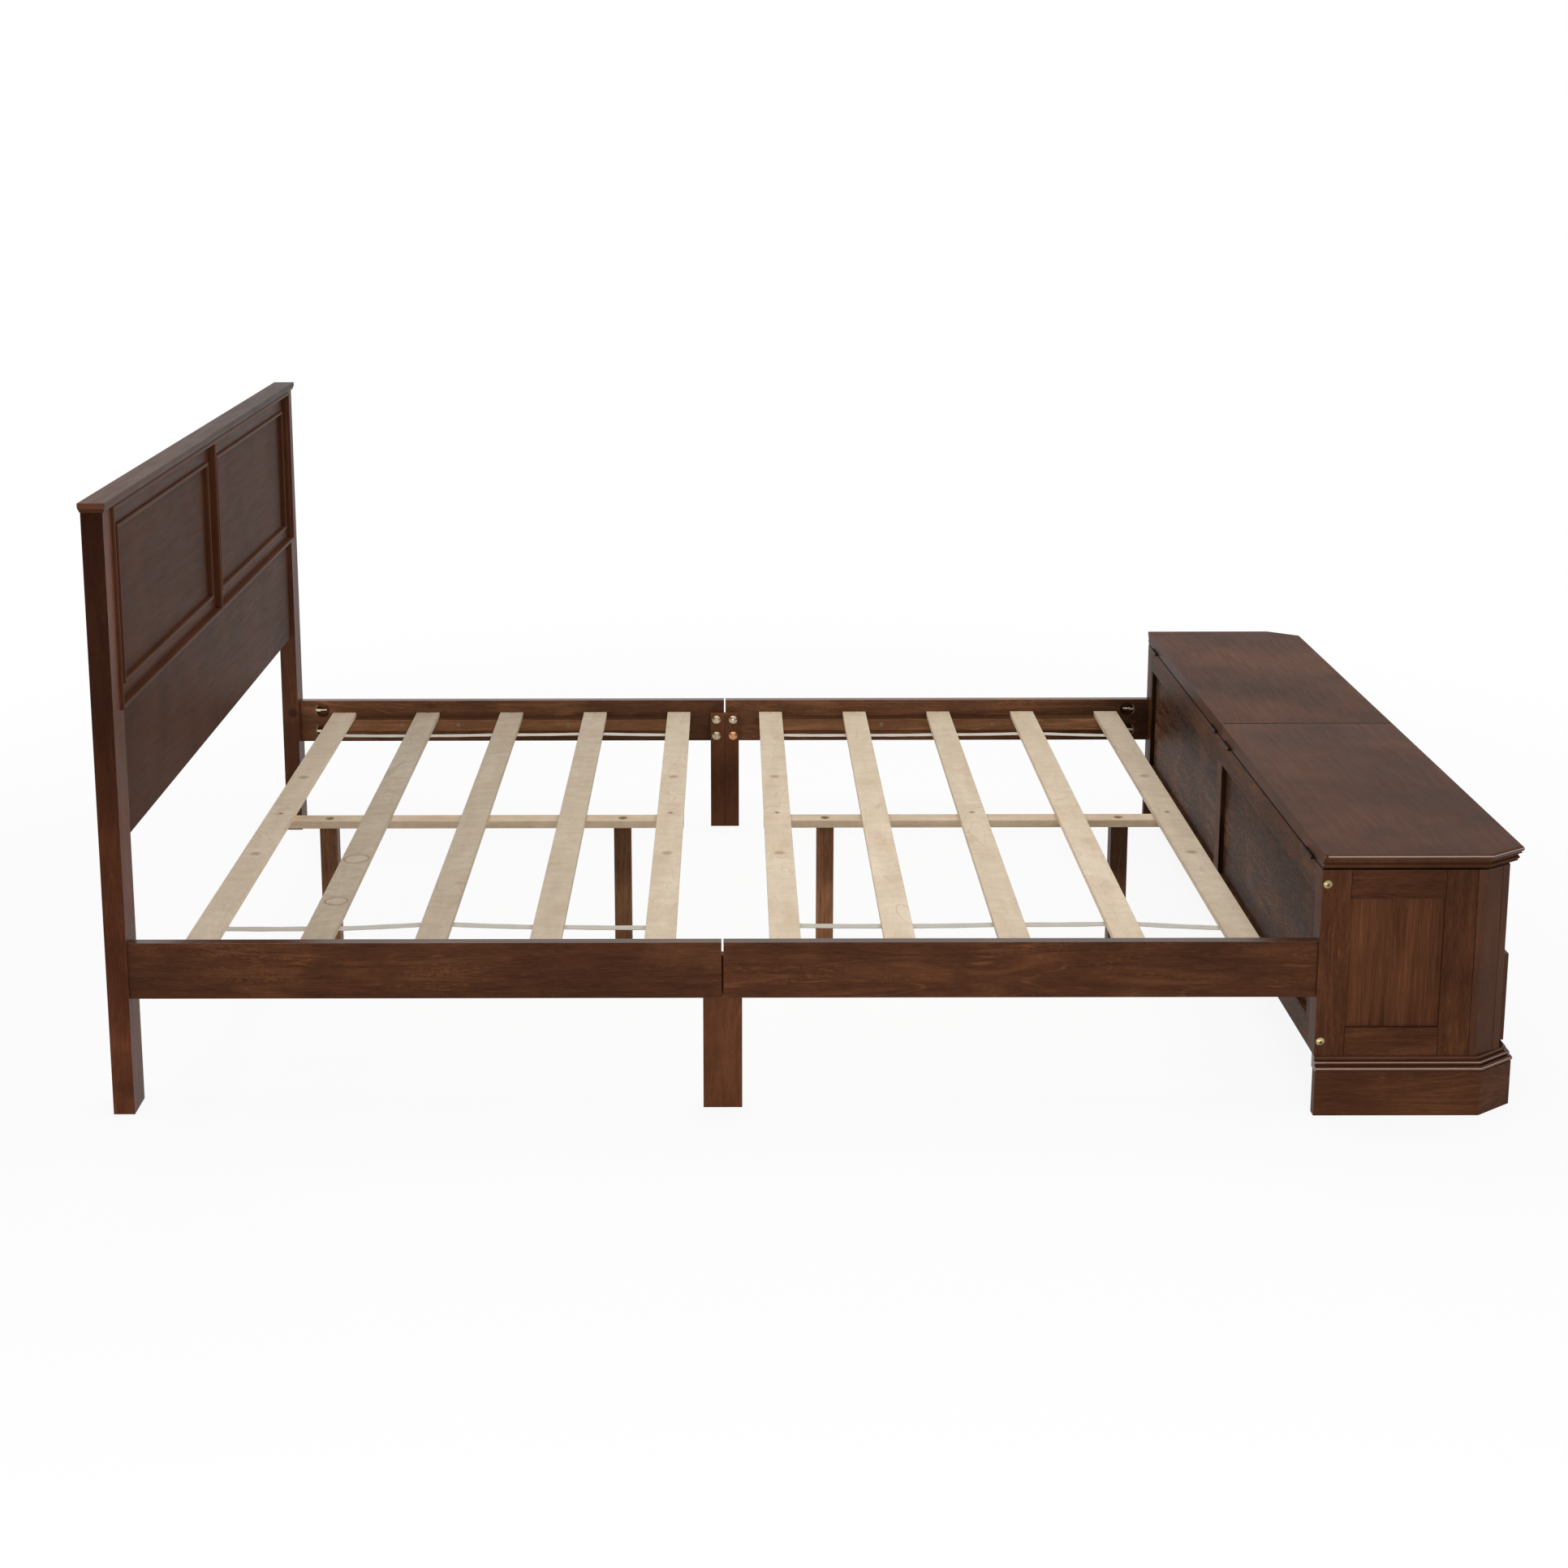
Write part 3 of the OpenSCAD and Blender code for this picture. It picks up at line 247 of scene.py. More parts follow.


def walnut(name, axis, seed, tone=1.0, depth=0.5, flame=0.5, blotch=0.5, pores=0.3, spec=0.12,
           rough=(0.32, 0.44), cross=11.0, turned=(), knots=(), edge=0.0012, hue=(0.35, 0.155),
           fade=None, joints=(), gloss=(), wear=0.5, curly=0.0, relief=0.5, run=1.0):
    """Walnut stain on wood.

    depth is the contrast of the streaks, flame that of the light figure, blotch that of the
    cloudy patches, pores that of the open grain, curly the amount of small cross flecks and
    relief the strength of the bump; cross and run are the grain's scales across and along the
    board. turned holds (box, axis, tone) for the boards of a node that run another way, knots
    (place, radius), fade (box, axis, from, to, tone), joints the boxes of dark
    joint lines and of painted shadow lines, and gloss (box, specular, roughness) of the smooth
    places, where a highlight is painted along a bead's crest; a box of None is the whole piece.
    """
    t = Tree(name)
    v = t.scaled(t.coord, along(axis, cross, run), (seed * 3.7, seed * 5.3, seed * 7.1))
    board = tone
    for i, (box, other, rel) in enumerate(turned):
        off = seed * 2.9 + 11.3 * (i + 1)
        w = t.scaled(t.coord, along(other, cross), (off, off * 1.7, off * 0.6))
        m = t.box_mask(box)
        v = t.mix_vec(m, v, w)
        board = t.math("MULTIPLY_ADD", m, (rel - 1.0) * tone, board)

    # the figure of the wood
    streak = t.noise(v, 9.0, 5.0, 0.62, 0.25)
    fleck = t.noise(v, 42.0, 3.0, 0.6)
    cloud = t.noise(t.coord, 5.0, 4.0, 0.55, 0.3)
    field = t.noise(v, 1.1, 2.0, 0.45, 0.8)
    line = t.times(t.contour(field, 16.0, 0.10), t.span(t.noise(v, 16.0, 2.0), 0.40, 0.60))
    broad = t.span(t.math("SINE", t.times(field, 50.0)), 0.2, 1.0)
    wave = t.noise(t.mix_vec(0.25, v, t.coord), 0.9, 2.0, 0.5, 0.6)
    small = t.noise(t.mix_vec(0.12, t.coord, v), 120.0, 2.0, 0.6)
    curl = t.times(t.contour(wave, 9.0, 0.24), t.span(small, 0.48, 0.66, 0.0, curly))
    figure = t.math("MAXIMUM", t.math("MAXIMUM", t.times(line, 0.8), t.times(broad, 0.35)), curl)
    figure = t.times(figure, t.span(cloud, 0.40, 0.58))

    # the colour of the stain
    mid, light = stain(MID_STAIN, *hue), stain(LIGHT_STAIN, hue[0] * 1.1, hue[1])
    base = t.mix(t.span(streak, 0.30, 0.66), stain(MID_STAIN * (1 - 0.5 * depth), *hue), mid)
    base = t.mix(t.span(fleck, 0.46, 0.70, 0.0, 0.34 * depth), base, light)
    base = t.mix(t.times(figure, flame), base, light)
    pit = t.span(t.noise(v, 75.0, 2.0, 0.5), 0.56, 0.66)
    patches = t.span(cloud, 0.32, 0.68, 1.0 - 0.30 * blotch, 1.0 + 0.30 * blotch)
    shade = t.times(patches, board)
    shade = t.times(shade, t.math("MULTIPLY_ADD", pit, -0.6 * pores, 1.0))
    shade = t.times(shade, t.span(wave, 0.36, 0.62, 1.0 - 0.22 * depth, 1.0 + 0.14 * depth))
    for place, radius in knots:
        shade = t.times(shade, t.span(t.distance(place), radius * 0.55, radius, 0.45, 1.0))
    if fade:
        box, k, lo, hi, end = fade
        drop = t.times(t.box_mask(box), t.span(t.axis(k), lo, hi, 0.0, 1.0 - end))
        shade = t.times(shade, t.math("SUBTRACT", 1.0, drop))
    # dark lines: joint lines, and painted shadow lines under the lids, the slats and the lid's
    # edge
    for box in joints:
        shade = t.times(shade, t.math("MULTIPLY_ADD", t.box_mask(box), -JOINT_AND_SHADOW_DARK, 1.0))
    base = t.shaded(base, shade)

    # the lacquer, and a highlight painted along the crest of a bead
    roughness, strength, shine = t.span(streak, 0.3, 0.7, *rough), relief, spec
    for box, bright, smooth in gloss:
        # the crest of a rounded bead, where the highlight is painted
        crest = t.times(t.span(t.up(), 0.10, 0.24), t.span(t.up(), 0.60, 0.40, 0.0, 0.85))
        if box:
            m = t.box_mask(box)
            crest = t.times(m, crest)
            shine = t.math("MULTIPLY_ADD", m, bright - spec, shine)
            strength = t.math("MULTIPLY_ADD", m, -0.85 * relief, strength)
            rest = t.times(roughness, t.math("SUBTRACT", 1.0, m))
            roughness = t.math("ADD", rest, t.times(m, smooth))
        else:
            shine, strength, roughness = bright, 0.15 * relief, smooth
        base = t.mix(crest, base, CREST_HIGHLIGHT)
    if wear:
        spots = t.span(t.noise(t.coord, 38.0, 3.0), 0.44, 0.62, 0.15, wear)
        worn = t.times(t.edges(WORN_RADIUS), spots)
        base = t.mix(worn, base, stain(WORN_STAIN * tone, 0.42, 0.2))
    t.set(Specular_IOR_Level=spec)          # what an export keeps where it drops a link
    t.set(Base_Color=base, Roughness=roughness, Specular_IOR_Level=shine)
    grain = t.math("SUBTRACT", t.times(streak, 0.5), t.times(pit, 0.4 + pores))
    t.bump(grain, 0.0003, strength, edge)
    return t.mat


# ---------- bare wood ----------

RING, SPOT, LOOP = (0.33, 0.20, 0.12), (0.30, 0.19, 0.10), (0.33, 0.17, 0.11)
CLOUDY, GRAIN, GLUE = (0.42, 0.29, 0.18), (0.38, 0.27, 0.165), (0.38, 0.24, 0.13)
SAPWOOD, PINK = (0.80, 0.69, 0.53), (0.56, 0.375, 0.265)


def pale_wood(name, axis, seed, tone=1.0, marks=(), loops=(), rings=0.5, layers=False, dull=None,
              low=(0.60, 0.475, 0.335), high=(0.71, 0.59, 0.445), side=1.0, boards=()):
    """Bare, sanded rotary-cut wood.

    marks holds (place, radius) of brown spots, loops those of thin reddish growth rings,
    boards (box, tone) of darker boards, dull is (axis, from, to, tone, tone) and side the tone
    of the sawn edges. layers shows the glue lines of plywood.
    """
    t = Tree(name)
    v = t.scaled(t.coord, along(axis, 6.0), (seed * 3.1, seed * 4.7, seed))
    streak = t.noise(v, 5.0, 5.0, 0.6, 0.6)
    w = t.scaled(t.coord, along(axis, 2.6), (seed * 1.3, seed * 2.1, seed))
    field = t.noise(w, 2.6, 2.0, 0.5, 1.0)
    cloud = t.noise(t.coord, 6.0, 4.0, 0.6)
    patch = t.noise(t.scaled(t.coord, (1, 1, 1), (seed, 3.0, 1.0)), 3.2, 2.0, 0.5)
    fine = t.noise(v, 60.0, 2.0, 0.5)
    base = t.mix(t.span(streak, 0.3, 0.7), low, high)
    line = t.times(t.contour(field, 11.0, 0.07), t.span(patch, 0.48, 0.62, 0.0, 0.5 * rings))
    base = t.mix(line, base, RING)
    base = t.mix(t.span(cloud, 0.52, 0.75, 0.0, 0.28), base, CLOUDY)
    base = t.mix(t.span(fine, 0.56, 0.72, 0.0, 0.25), base, GRAIN)
    base = t.mix(t.span(patch, 0.54, 0.70, 0.0, 0.30), base, SAPWOOD)
    pink = t.noise(t.scaled(t.coord, along(axis, 2.0), (seed, 7.0, 2.0)), 4.5, 3.0, 0.55, 0.5)
    base = t.mix(t.span(pink, 0.55, 0.70, 0.0, 0.32), base, PINK)
    mottle = t.noise(t.scaled(t.coord, along(axis, 0.5), (seed, 1.0, 4.0)), 42.0, 3.0, 0.6)
    tone = t.times(t.span(mottle, 0.32, 0.68, 0.94, 1.05), tone)
    for box, other in boards:
        tone = t.math("MULTIPLY_ADD", t.box_mask(box), other - 1.0, tone)
    if layers:
        ply = t.span(t.math("SINE", t.times(t.axis(2), 1750.0)), 0.55, 0.95, 0.0, 0.35)
        base = t.mix(ply, base, GLUE)
    for place, radius in marks:
        d = t.distance(place)
        base = t.mix(t.span(d, radius * 0.4, radius, 0.65, 0.0), base, SPOT)
    for place, radius in loops:
        wobble = t.math("SUBTRACT", cloud, 0.5)
        d = t.math("MULTIPLY_ADD", wobble, radius * 1.3, t.distance(place))
        off = t.math("ABSOLUTE", t.math("SUBTRACT", d, radius))
        base = t.mix(t.span(off, 0.0008, 0.0030, 0.7, 0.0), base, LOOP)
    if dull:
        tone = t.times(t.span(t.axis(dull[0]), *dull[1:]), tone)
    if side != 1.0:
        edge = t.span(t.math("ABSOLUTE", t.up()), 0.75, 0.35)
        tone = t.times(t.math("MULTIPLY_ADD", edge, side - 1.0, 1.0), tone)
    t.set(Base_Color=t.shaded(base, tone), Roughness=t.span(streak, 0.3, 0.7, 0.55, 0.72),
          Specular_IOR_Level=0.2)
    t.bump(fine, 0.0003, 0.4, 0.0012)
    return t.mat


# ---------- metal ----------

# the second colour is a dark middle painted on bolt heads: painted shade in a socket and a painted
# dark reflection on a dome
COPPER, PAINTED_DARK_MIDDLE = (0.56, 0.27, 0.15), (0.05, 0.035, 0.02)


def metal(name, colour, tint, rough=0.3, middles=(), copper=()):
    """Plated steel.

    middles holds (place, radius) of a dark middle painted on a head, for the shade and the dark
    reflection seen there; copper that of a head with another plating.
    """
    t = Tree(name)
    cloud = t.noise(t.coord, 160.0, 3.0, 0.6)
    base = t.mix(t.span(cloud, 0.4, 0.7), colour, tint)
    for place, radius in copper:
        base = t.mix(t.math("LESS_THAN", t.distance(place), radius), base, COPPER)
    # painted shade and reflection: a dark middle on each head
    for place, radius in middles:
        d = t.distance(place)
        base = t.mix(t.span(d, radius * 0.7, radius, 0.85, 0.0), base, PAINTED_DARK_MIDDLE)
    t.set(Base_Color=base, Metallic=1.0,
          Roughness=t.span(cloud, 0.3, 0.7, rough * 0.8, rough * 1.3))
    t.bump(t.noise(t.coord, 900.0, 2.0), 0.0001, 0.3)
    return t.mat


def coat(node, material):
    """Gives a CAD node its material."""
    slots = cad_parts[node].data.materials
    if not slots:
        slots.append(material)
    for i in range(len(slots)):
        slots[i] = material


# ---------- places on the stained pieces ----------

WHOLE = (None, (-FAR, FAR), None)
FAR_SIDE = (None, (0.0, FAR), None)
POST_FACE = (None, (-FAR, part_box("hb_post_near")[0][1] + 0.0005), None)
CAP_END = (None, (-FAR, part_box("hb_cap")[0][1] + HAIR), None)
POST_KNOT = ((bed_x(-12), POST_IN, 0.293), 0.014)
RAIL_TOP = (None, None, (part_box("rail_near_head")[1][2] - HAIR, FAR))
# painted shade: the top face of a cleat darkened, for the shade under the slats
CLEAT_TOP_SHADE = (None, None, (CLEAT_TOP - HAIR, FAR))
MID_LEG_LINE = (layer((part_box("mid_leg_far")[0][0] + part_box("mid_leg_far")[1][0]) / 2, HAIR),
                None, None)
CANT_LINE = (layer(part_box("chest_cant_near")[0][0], 0.001, 0.0008), None, None)
# painted shadow: the lowest 1.8 mm of each lid darkened, for the shade under its edge
LID_UNDERSIDE_SHADOW = (None, None, (0.0, LID_LOW[2] + 0.0018))
LID_GAP = (None, (-0.0032, 0.0032), None)
LID_NOSE = ((LID_LOW[0] + 0.006, FAR), None, (LID_LOW[2] + 0.014, LID_HIGH[2] - 0.0004))
LID_BACK = ((0.0, LID_LOW[0] + 0.001), None, None)

# ---------- materials of the CAD nodes ----------

# looks that several pieces share; PLY is for veneered boards, OPEN for wood with open grain
PLY = dict(depth=0.14, flame=0.12, blotch=0.8, pores=0.05, relief=0.2)
BEAD = dict(tone=0.90, depth=0.3, flame=0.1, spec=0.02, rough=(0.30, 0.38), wear=1.0, relief=0.1,
            edge=0.0005)
# the lids: a painted shadow along their lower edge, a dark joint line where they meet, and a
# highlight painted along the crest of the nose
LID = dict(PLY, flame=0.5, curly=0.5, blotch=1.0, rough=(0.32, 0.42),
           joints=[LID_UNDERSIDE_SHADOW, LID_GAP],
           gloss=[(LID_NOSE, 0.14, 0.12), (LID_BACK, 0.040, 0.40)])
OPEN = dict(tone=1.1, depth=1.6, flame=0.6, blotch=0.7, pores=1.2, spec=0.023, rough=(0.38, 0.5),
            cross=16.0, hue=(0.40, 0.21))
RAIL = dict(tone=0.81, depth=0.8, flame=0.85, blotch=0.5, spec=0.04, curly=0.8,
            gloss=[(RAIL_TOP, 0.32, 0.22)])
FAR_RAIL = dict(RAIL, hue=(0.41, 0.195))
HB_FRAME = dict(depth=0.3, flame=0.15)
CANT = dict(tone=0.86, flame=0.3, spec=0.09, joints=[CANT_LINE])
KNOB = dict(depth=0.3, flame=0.1, rough=(0.25, 0.35))

# node: (axis of the grain, look); the seed of each follows from its place in the table
WALNUT = {
    # painted shade: the near face of the near post darkens towards the top, to a third of its tone
    # at z = 0.80 m
    "hb_post_near": ("z", dict(tone=1.28, flame=0.45, blotch=0.8, spec=0.07, hue=(0.33, 0.165),
                               gloss=[(POST_FACE, 0.008, 0.4)],
                               fade=(POST_FACE, 2, 0.16, 0.80, 0.33))),
    "hb_post_far": ("z", dict(tone=1.0, flame=0.5, spec=0.06, knots=[POST_KNOT])),
    # painted sheen: the cap darkens from its near end to its far end, so that the near end looks
    # lit by a sheen
    "hb_cap": ("y", dict(tone=0.74, depth=0.2, flame=0.1, blotch=0.3, spec=0.057, pores=0.1,
                         relief=0.12, rough=(0.36, 0.46), fade=(WHOLE, 1, -0.75, 0.4, 0.45),
                         turned=[(CAP_END, "y", 1.85)])),
    "hb_top_rail": ("y", dict(HB_FRAME, tone=0.75, spec=0.033)),
    "hb_mid_rail": ("y", dict(HB_FRAME, tone=0.95, spec=0.033)),
    "hb_end_stiles": ("z", dict(HB_FRAME, tone=0.80, spec=0.056)),
    "hb_centre_stile": ("z", dict(HB_FRAME, tone=0.75, spec=0.05)),
    "hb_fields": ("y", dict(PLY, tone=0.64, spec=0.028, rough=(0.42, 0.5))),
    "hb_lower_panel": ("y", dict(PLY, tone=0.66, spec=0.030, rough=(0.42, 0.5))),
    "hb_frame_bead": ("z", BEAD),
    "hb_field_bead_near": ("z", BEAD),
    "hb_field_bead_far": ("z", BEAD),
    "hb_centre_bead": ("z", dict(BEAD, tone=0.95, hue=(0.33, 0.15))),
    "rail_near_head": ("x", RAIL),
    "rail_near_foot": ("x", dict(RAIL, tone=0.83)),
    # painted light: the far rails take a stain more than twice as light as the near rails';
    # rail_far_foot also darkens towards the chest, a painted shadow, and rail_far_head darkens
    # from x = -0.28 m to -0.19 m and stays so beyond
    "rail_far_head": ("x", dict(FAR_RAIL, tone=1.80, fade=(FAR_SIDE, 0, -0.28, -0.19, 0.6))),
    "rail_far_foot": ("x", dict(FAR_RAIL, tone=1.85, fade=(FAR_SIDE, 0, 0.55, 0.85, 0.25))),
    "cleats_near": ("x", dict(tone=1.5, flame=0.5)),
    # the far cleats: their top face darkened, a painted shade under the slats
    "cleats_far": ("x", dict(tone=2.7, flame=0.8, hue=(0.44, 0.205), spec=0.03, wear=0,
                             joints=[CLEAT_TOP_SHADE])),
    "mid_leg_near": ("z", dict(tone=1.28, flame=0.5, curly=0.3, spec=0.04)),
    # painted highlight: the far half of the far middle leg grows half again as light towards the
    # top, from z = 0.15 m to 0.22 m
    "mid_leg_far": ("z", dict(tone=1.10, flame=0.2, spec=0.05,
                              fade=(FAR_SIDE, 2, 0.15, 0.22, 1.5), joints=[MID_LEG_LINE])),
    "chest_side_panels": ("z", dict(tone=1.06, depth=1.0, flame=0.3, cross=12.0, run=0.3,
                                    spec=0.03)),
    "chest_cant_near": ("z", CANT),
    "chest_cant_far": ("z", CANT),
    # painted shade: the back panels darken towards the top, under the lid
    "chest_back_panels": ("y", dict(OPEN, tone=1.22, depth=1.8, flame=0.9, pores=1.3, cross=9.0,
                                    hue=(0.44, 0.25), spec=0.024,
                                    fade=(WHOLE, 2, 0.22, 0.50, 0.72))),
    "chest_front_panels": ("y", PLY),
    "lid_near": ("y", dict(LID, tone=0.80, spec=0.028)),
    "lid_far": ("y", dict(LID, tone=0.76, spec=0.021)),
    "drawer_front_near": ("y", dict(flame=0.4)),
    "drawer_front_far": ("y", dict(flame=0.4)),
    "drawer_knobs_near": ("x", KNOB),
    "drawer_knobs_far": ("x", KNOB),
}

# the frames of the chest, with stiles along z and rails along x or y
rail_low, rail_high = (0.0, PANEL_LOW[2]), (PANEL_HIGH[2], FAR)
between = (PANEL_LOW[2], PANEL_HIGH[2])
side_x = (PANEL_LOW[0], PANEL_HIGH[0])
for node in ("chest_side_near", "chest_side_far"):
    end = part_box(node)[1][0]
    lines = [(layer(x, HAIR), None, span) for x in side_x for span in (rail_low, rail_high)]
    WALNUT[node] = ("z", dict(
        tone=0.88, depth=0.8, flame=0.6, curly=0.15, pores=0.4, spec=0.03,
        turned=[((side_x, None, rail_low), "x", 1.15), ((side_x, None, rail_high), "x", 0.82),
                (((PANEL_HIGH[0], FAR), None, None), "z", 0.92)],
        joints=lines + [(layer(end, 0.0012, 0.001), None, None)]))

back_x, back_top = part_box("chest_back_frame")[0][0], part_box("chest_back_frame")[1][2]
centre, inner = BACK_CENTRE / 2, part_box("chest_back_panels")[1][1]
behind = (back_x + 0.001, FAR)
WALNUT["chest_back_frame"] = ("z", dict(
    OPEN,
    turned=[((None, None, rail_low), "y", 0.88), ((None, None, rail_high), "y", 0.88),
            ((None, (-centre, centre), between), "z", 1.8)],
    joints=[(behind, layer(-centre, 0.001, 0.0008), between),
            (behind, layer(inner, 0.0008, 0.001), between),
            # painted shadow: the top 1.6 mm of the back frame darkened, under the lid's edge
            (None, None, (back_top - 0.0016, FAR))]))

front = (-FRONT_STILE_IN, FRONT_STILE_IN)
WALNUT["chest_front_frame"] = ("z", dict(turned=[
    ((None, front, FRONT_LOW_RAIL), "y", 0.95), ((None, front, FRONT_MID_RAIL), "y", 1.0),
    ((None, front, rail_high), "y", 0.95)]))
runs = [((None, (-FAR, -SIDE_IN), None), "x", 1.0), ((None, (SIDE_IN, FAR), None), "x", 1.0)]
WALNUT["chest_plinth"] = ("y", dict(depth=0.7, flame=0.7, curly=0.3, spec=0.038, run=0.6,
                                    turned=runs))
# the base moulding: a highlight painted along the crest of each bead
WALNUT["chest_base_moulding"] = ("y", dict(depth=0.4, flame=0.1, wear=0.3, turned=runs, edge=0,
                                           gloss=[(None, 0.14, 0.12)]))

for i, (node, (axis, look)) in enumerate(WALNUT.items()):
    coat(node, walnut("stain_" + node, axis, 1.3 + 1.7 * i, **look))

leg_xs = [bed_x(mm) for mm in CENTRE_LEGS]
LEG_TONES = {1: 0.68, 2: 1.25, 3: 0.43}
coat("centre_legs", walnut(
    "stain_centre_legs", "z", 60.0, tone=2.2, depth=0.9, flame=0.3, cross=20.0, hue=(0.45, 0.22),
    spec=0.04, wear=0,
    turned=[((layer(leg_xs[k], 0.1), None, None), "z", tone) for k, tone in LEG_TONES.items()]))

# plugs on the end slats of each half, and screws in the middle of some
SLAT_TONES = (0.90, 0.64, 0.68, 0.77, 0.91, 0.96, 0.98, 0.93, 0.98, 0.79)
PLUGGED = (0, 4, 5, 9)
SCREWED = (0, 4, 5, 7, 9)
PLUG_R, SCREW_MARK_R, NAIL_MARK_R = 0.014, 0.009, 0.004
NAIL_IN = 0.006                     # from a slat's end to its nail
LOOP_YS, LOOP_R = (-0.279, -0.509), 0.021
SLAT_RINGS = (0.8, 0.9)
SLAT_DULL = (1, -0.6, 0.6, 1.07, 0.90)      # paler at the near ends
for i, node in enumerate(("slats_head", "slats_foot")):
    ks = HALVES[i]
    nail_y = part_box(node)[1][1] - NAIL_IN
    marks = [((SLAT_XS[k], y, SLAT_TOP), PLUG_R) for k in ks if k in PLUGGED
             for y in (-PLUG_Y, PLUG_Y)]
    marks += [((SLAT_XS[k], 0.0, SLAT_TOP), SCREW_MARK_R) for k in ks if k in SCREWED]
    marks += [((SLAT_XS[k], s * nail_y, SLAT_TOP), NAIL_MARK_R) for k in ks for s in (-1, 1)]
    loops = ()
    if node == "slats_head":
        loops = [((SLAT_XS[1] + 0.003, y, SLAT_TOP), LOOP_R) for y in LOOP_YS]
    boards = [((layer(SLAT_XS[k], 0.05), None, None), SLAT_TONES[k]) for k in ks]
    coat(node, pale_wood("slat_wood_%d" % i, "y", 2.0 + 3 * i, marks=marks, loops=loops,
                         layers=True, rings=SLAT_RINGS[i], dull=SLAT_DULL, side=1.35,
                         boards=boards))
for i, node in enumerate(("centre_rail_head", "centre_rail_foot")):
    coat(node, pale_wood("centre_rail_wood_%d" % i, "x", 8.0 + i, tone=0.86, rings=0.4, side=1.2,
                         low=(0.52, 0.385, 0.25), high=(0.70, 0.56, 0.40)))
INNER = ("chest_floors", "chest_partition", "chest_runners", "drawer_box_near", "drawer_box_far")
for i, node in enumerate(INNER):
    coat(node, pale_wood("inner_board_%d" % i, "y" if i == 0 else "x", 12.0 + i, tone=0.85))

SIDE_DARK_MIDDLE_R, LEG_DARK_MIDDLE_R, COPPER_R = 0.0036, 0.0034, 0.013
side_low, side_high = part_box("chest_side_bolts")
leg_low, leg_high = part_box("mid_leg_bolts")
leg_z = (leg_low[2] + LEG_BOLT_R, leg_high[2] - LEG_BOLT_R)
# the chest's side bolts: a dark middle painted for the shade in their sockets
zinc = metal("yellow_zinc", (0.40, 0.34, 0.17), (0.24, 0.19, 0.08), middles=[
    (((side_low[0] + side_high[0]) / 2, y, z), SIDE_DARK_MIDDLE_R) for y in (side_low[1], side_high[1])
    for z in (side_low[2] + SIDE_BOLT_R, side_high[2] - SIDE_BOLT_R)])
# the middle legs' bolts: a dark middle painted on their domes, a painted dark reflection
pewter = metal("pale_zinc", (0.46, 0.39, 0.28), (0.32, 0.23, 0.15), middles=[
    ((x, y, z), LEG_DARK_MIDDLE_R) for x in (leg_low[0] + LEG_BOLT_R, leg_high[0] - LEG_BOLT_R)
    for y in (leg_low[1], -LEG_BOLT_IN, LEG_BOLT_IN, leg_high[1]) for z in leg_z],
    copper=[((leg_high[0] - LEG_BOLT_R, LEG_BOLT_IN, leg_z[0]), COPPER_R)])
bright = metal("bright_zinc", (0.66, 0.55, 0.39), (0.45, 0.35, 0.21), 0.25)
dark = metal("dark_hinge", (0.012, 0.009, 0.007), (0.03, 0.022, 0.017), 0.5)
METALS = {
    zinc: ("rail_washers", "centre_leg_bolts", "chest_side_bolts"),
    bright: ("rail_studs", "rail_nuts"),
    pewter: ("mid_leg_bolts",),
    dark: ("hinges_fixed", "hinge_leaves_near", "hinge_leaves_far"),
}
for material, nodes in METALS.items():
    for node in nodes:
        coat(node, material)

pad = Tree("bumper_pad")
pad.set(Base_Color=pad.mix(pad.noise(pad.coord, 300.0), (0.02, 0.017, 0.015), (0.05, 0.045, 0.04)),
        Roughness=0.8)
coat("lid_bumpers", pad.mat)


def keep(bm, name, material, body="bed"):
    """Makes an object of a bmesh and lets it ride on a body."""
    mesh = bpy.data.meshes.new(name)
    bm.to_mesh(mesh)
    bm.free()
    mesh.materials.append(material)
    ob = bpy.data.objects.new(name, mesh)
    bpy.context.scene.collection.objects.link(ob)
    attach(ob, body)
    return ob


# ---------- webbing under the slats ----------

TAPE_W = 0.020
TAPE_T = 0.0010
TAPE_REST = 0.004                   # from a slat's edge to where the tape leaves it
TAPE_DROP = 0.55                    # from the slats to the tape's middle, in its thickness
TAPE_SAG, TAPE_TWIST = 0.0005, 0.0002
STEPS_FREE, STEPS_HELD = 8, 2       # pieces of a length between two slats and under one
# the tape's section: across in halves of its width, and up, where THICK is half its thickness
THICK = 1.3
TAPE_SECTION = ((-1, -1), (-0.9, -THICK), (0.9, -THICK), (1, -1),
                (1, 1), (0.9, THICK), (-0.9, THICK), (-1, 1))
# how far each strap wanders off its line at the ten slats, in millimetres, from near to far
WANDER = {-1: (-13, -13, 7, -7, -11, -2, -5, 1, 4, -17), 1: (4, 1, 8, 14, 5, 1, -1, 3, 10, -6)}
THREADS = 4200.0                    # radians of the weave to a metre

tape = Tree("strap_webbing")
weave = tape.times(tape.math("SINE", tape.times(tape.axis(0), THREADS)),
                   tape.math("SINE", tape.times(tape.axis(1), THREADS)))
tape.set(Base_Color=tape.mix(tape.span(weave, -0.6, 0.8), (0.52, 0.475, 0.40), (0.66, 0.62, 0.54)),
         Roughness=0.85)
tape.bump(weave, 0.0004, 0.6)


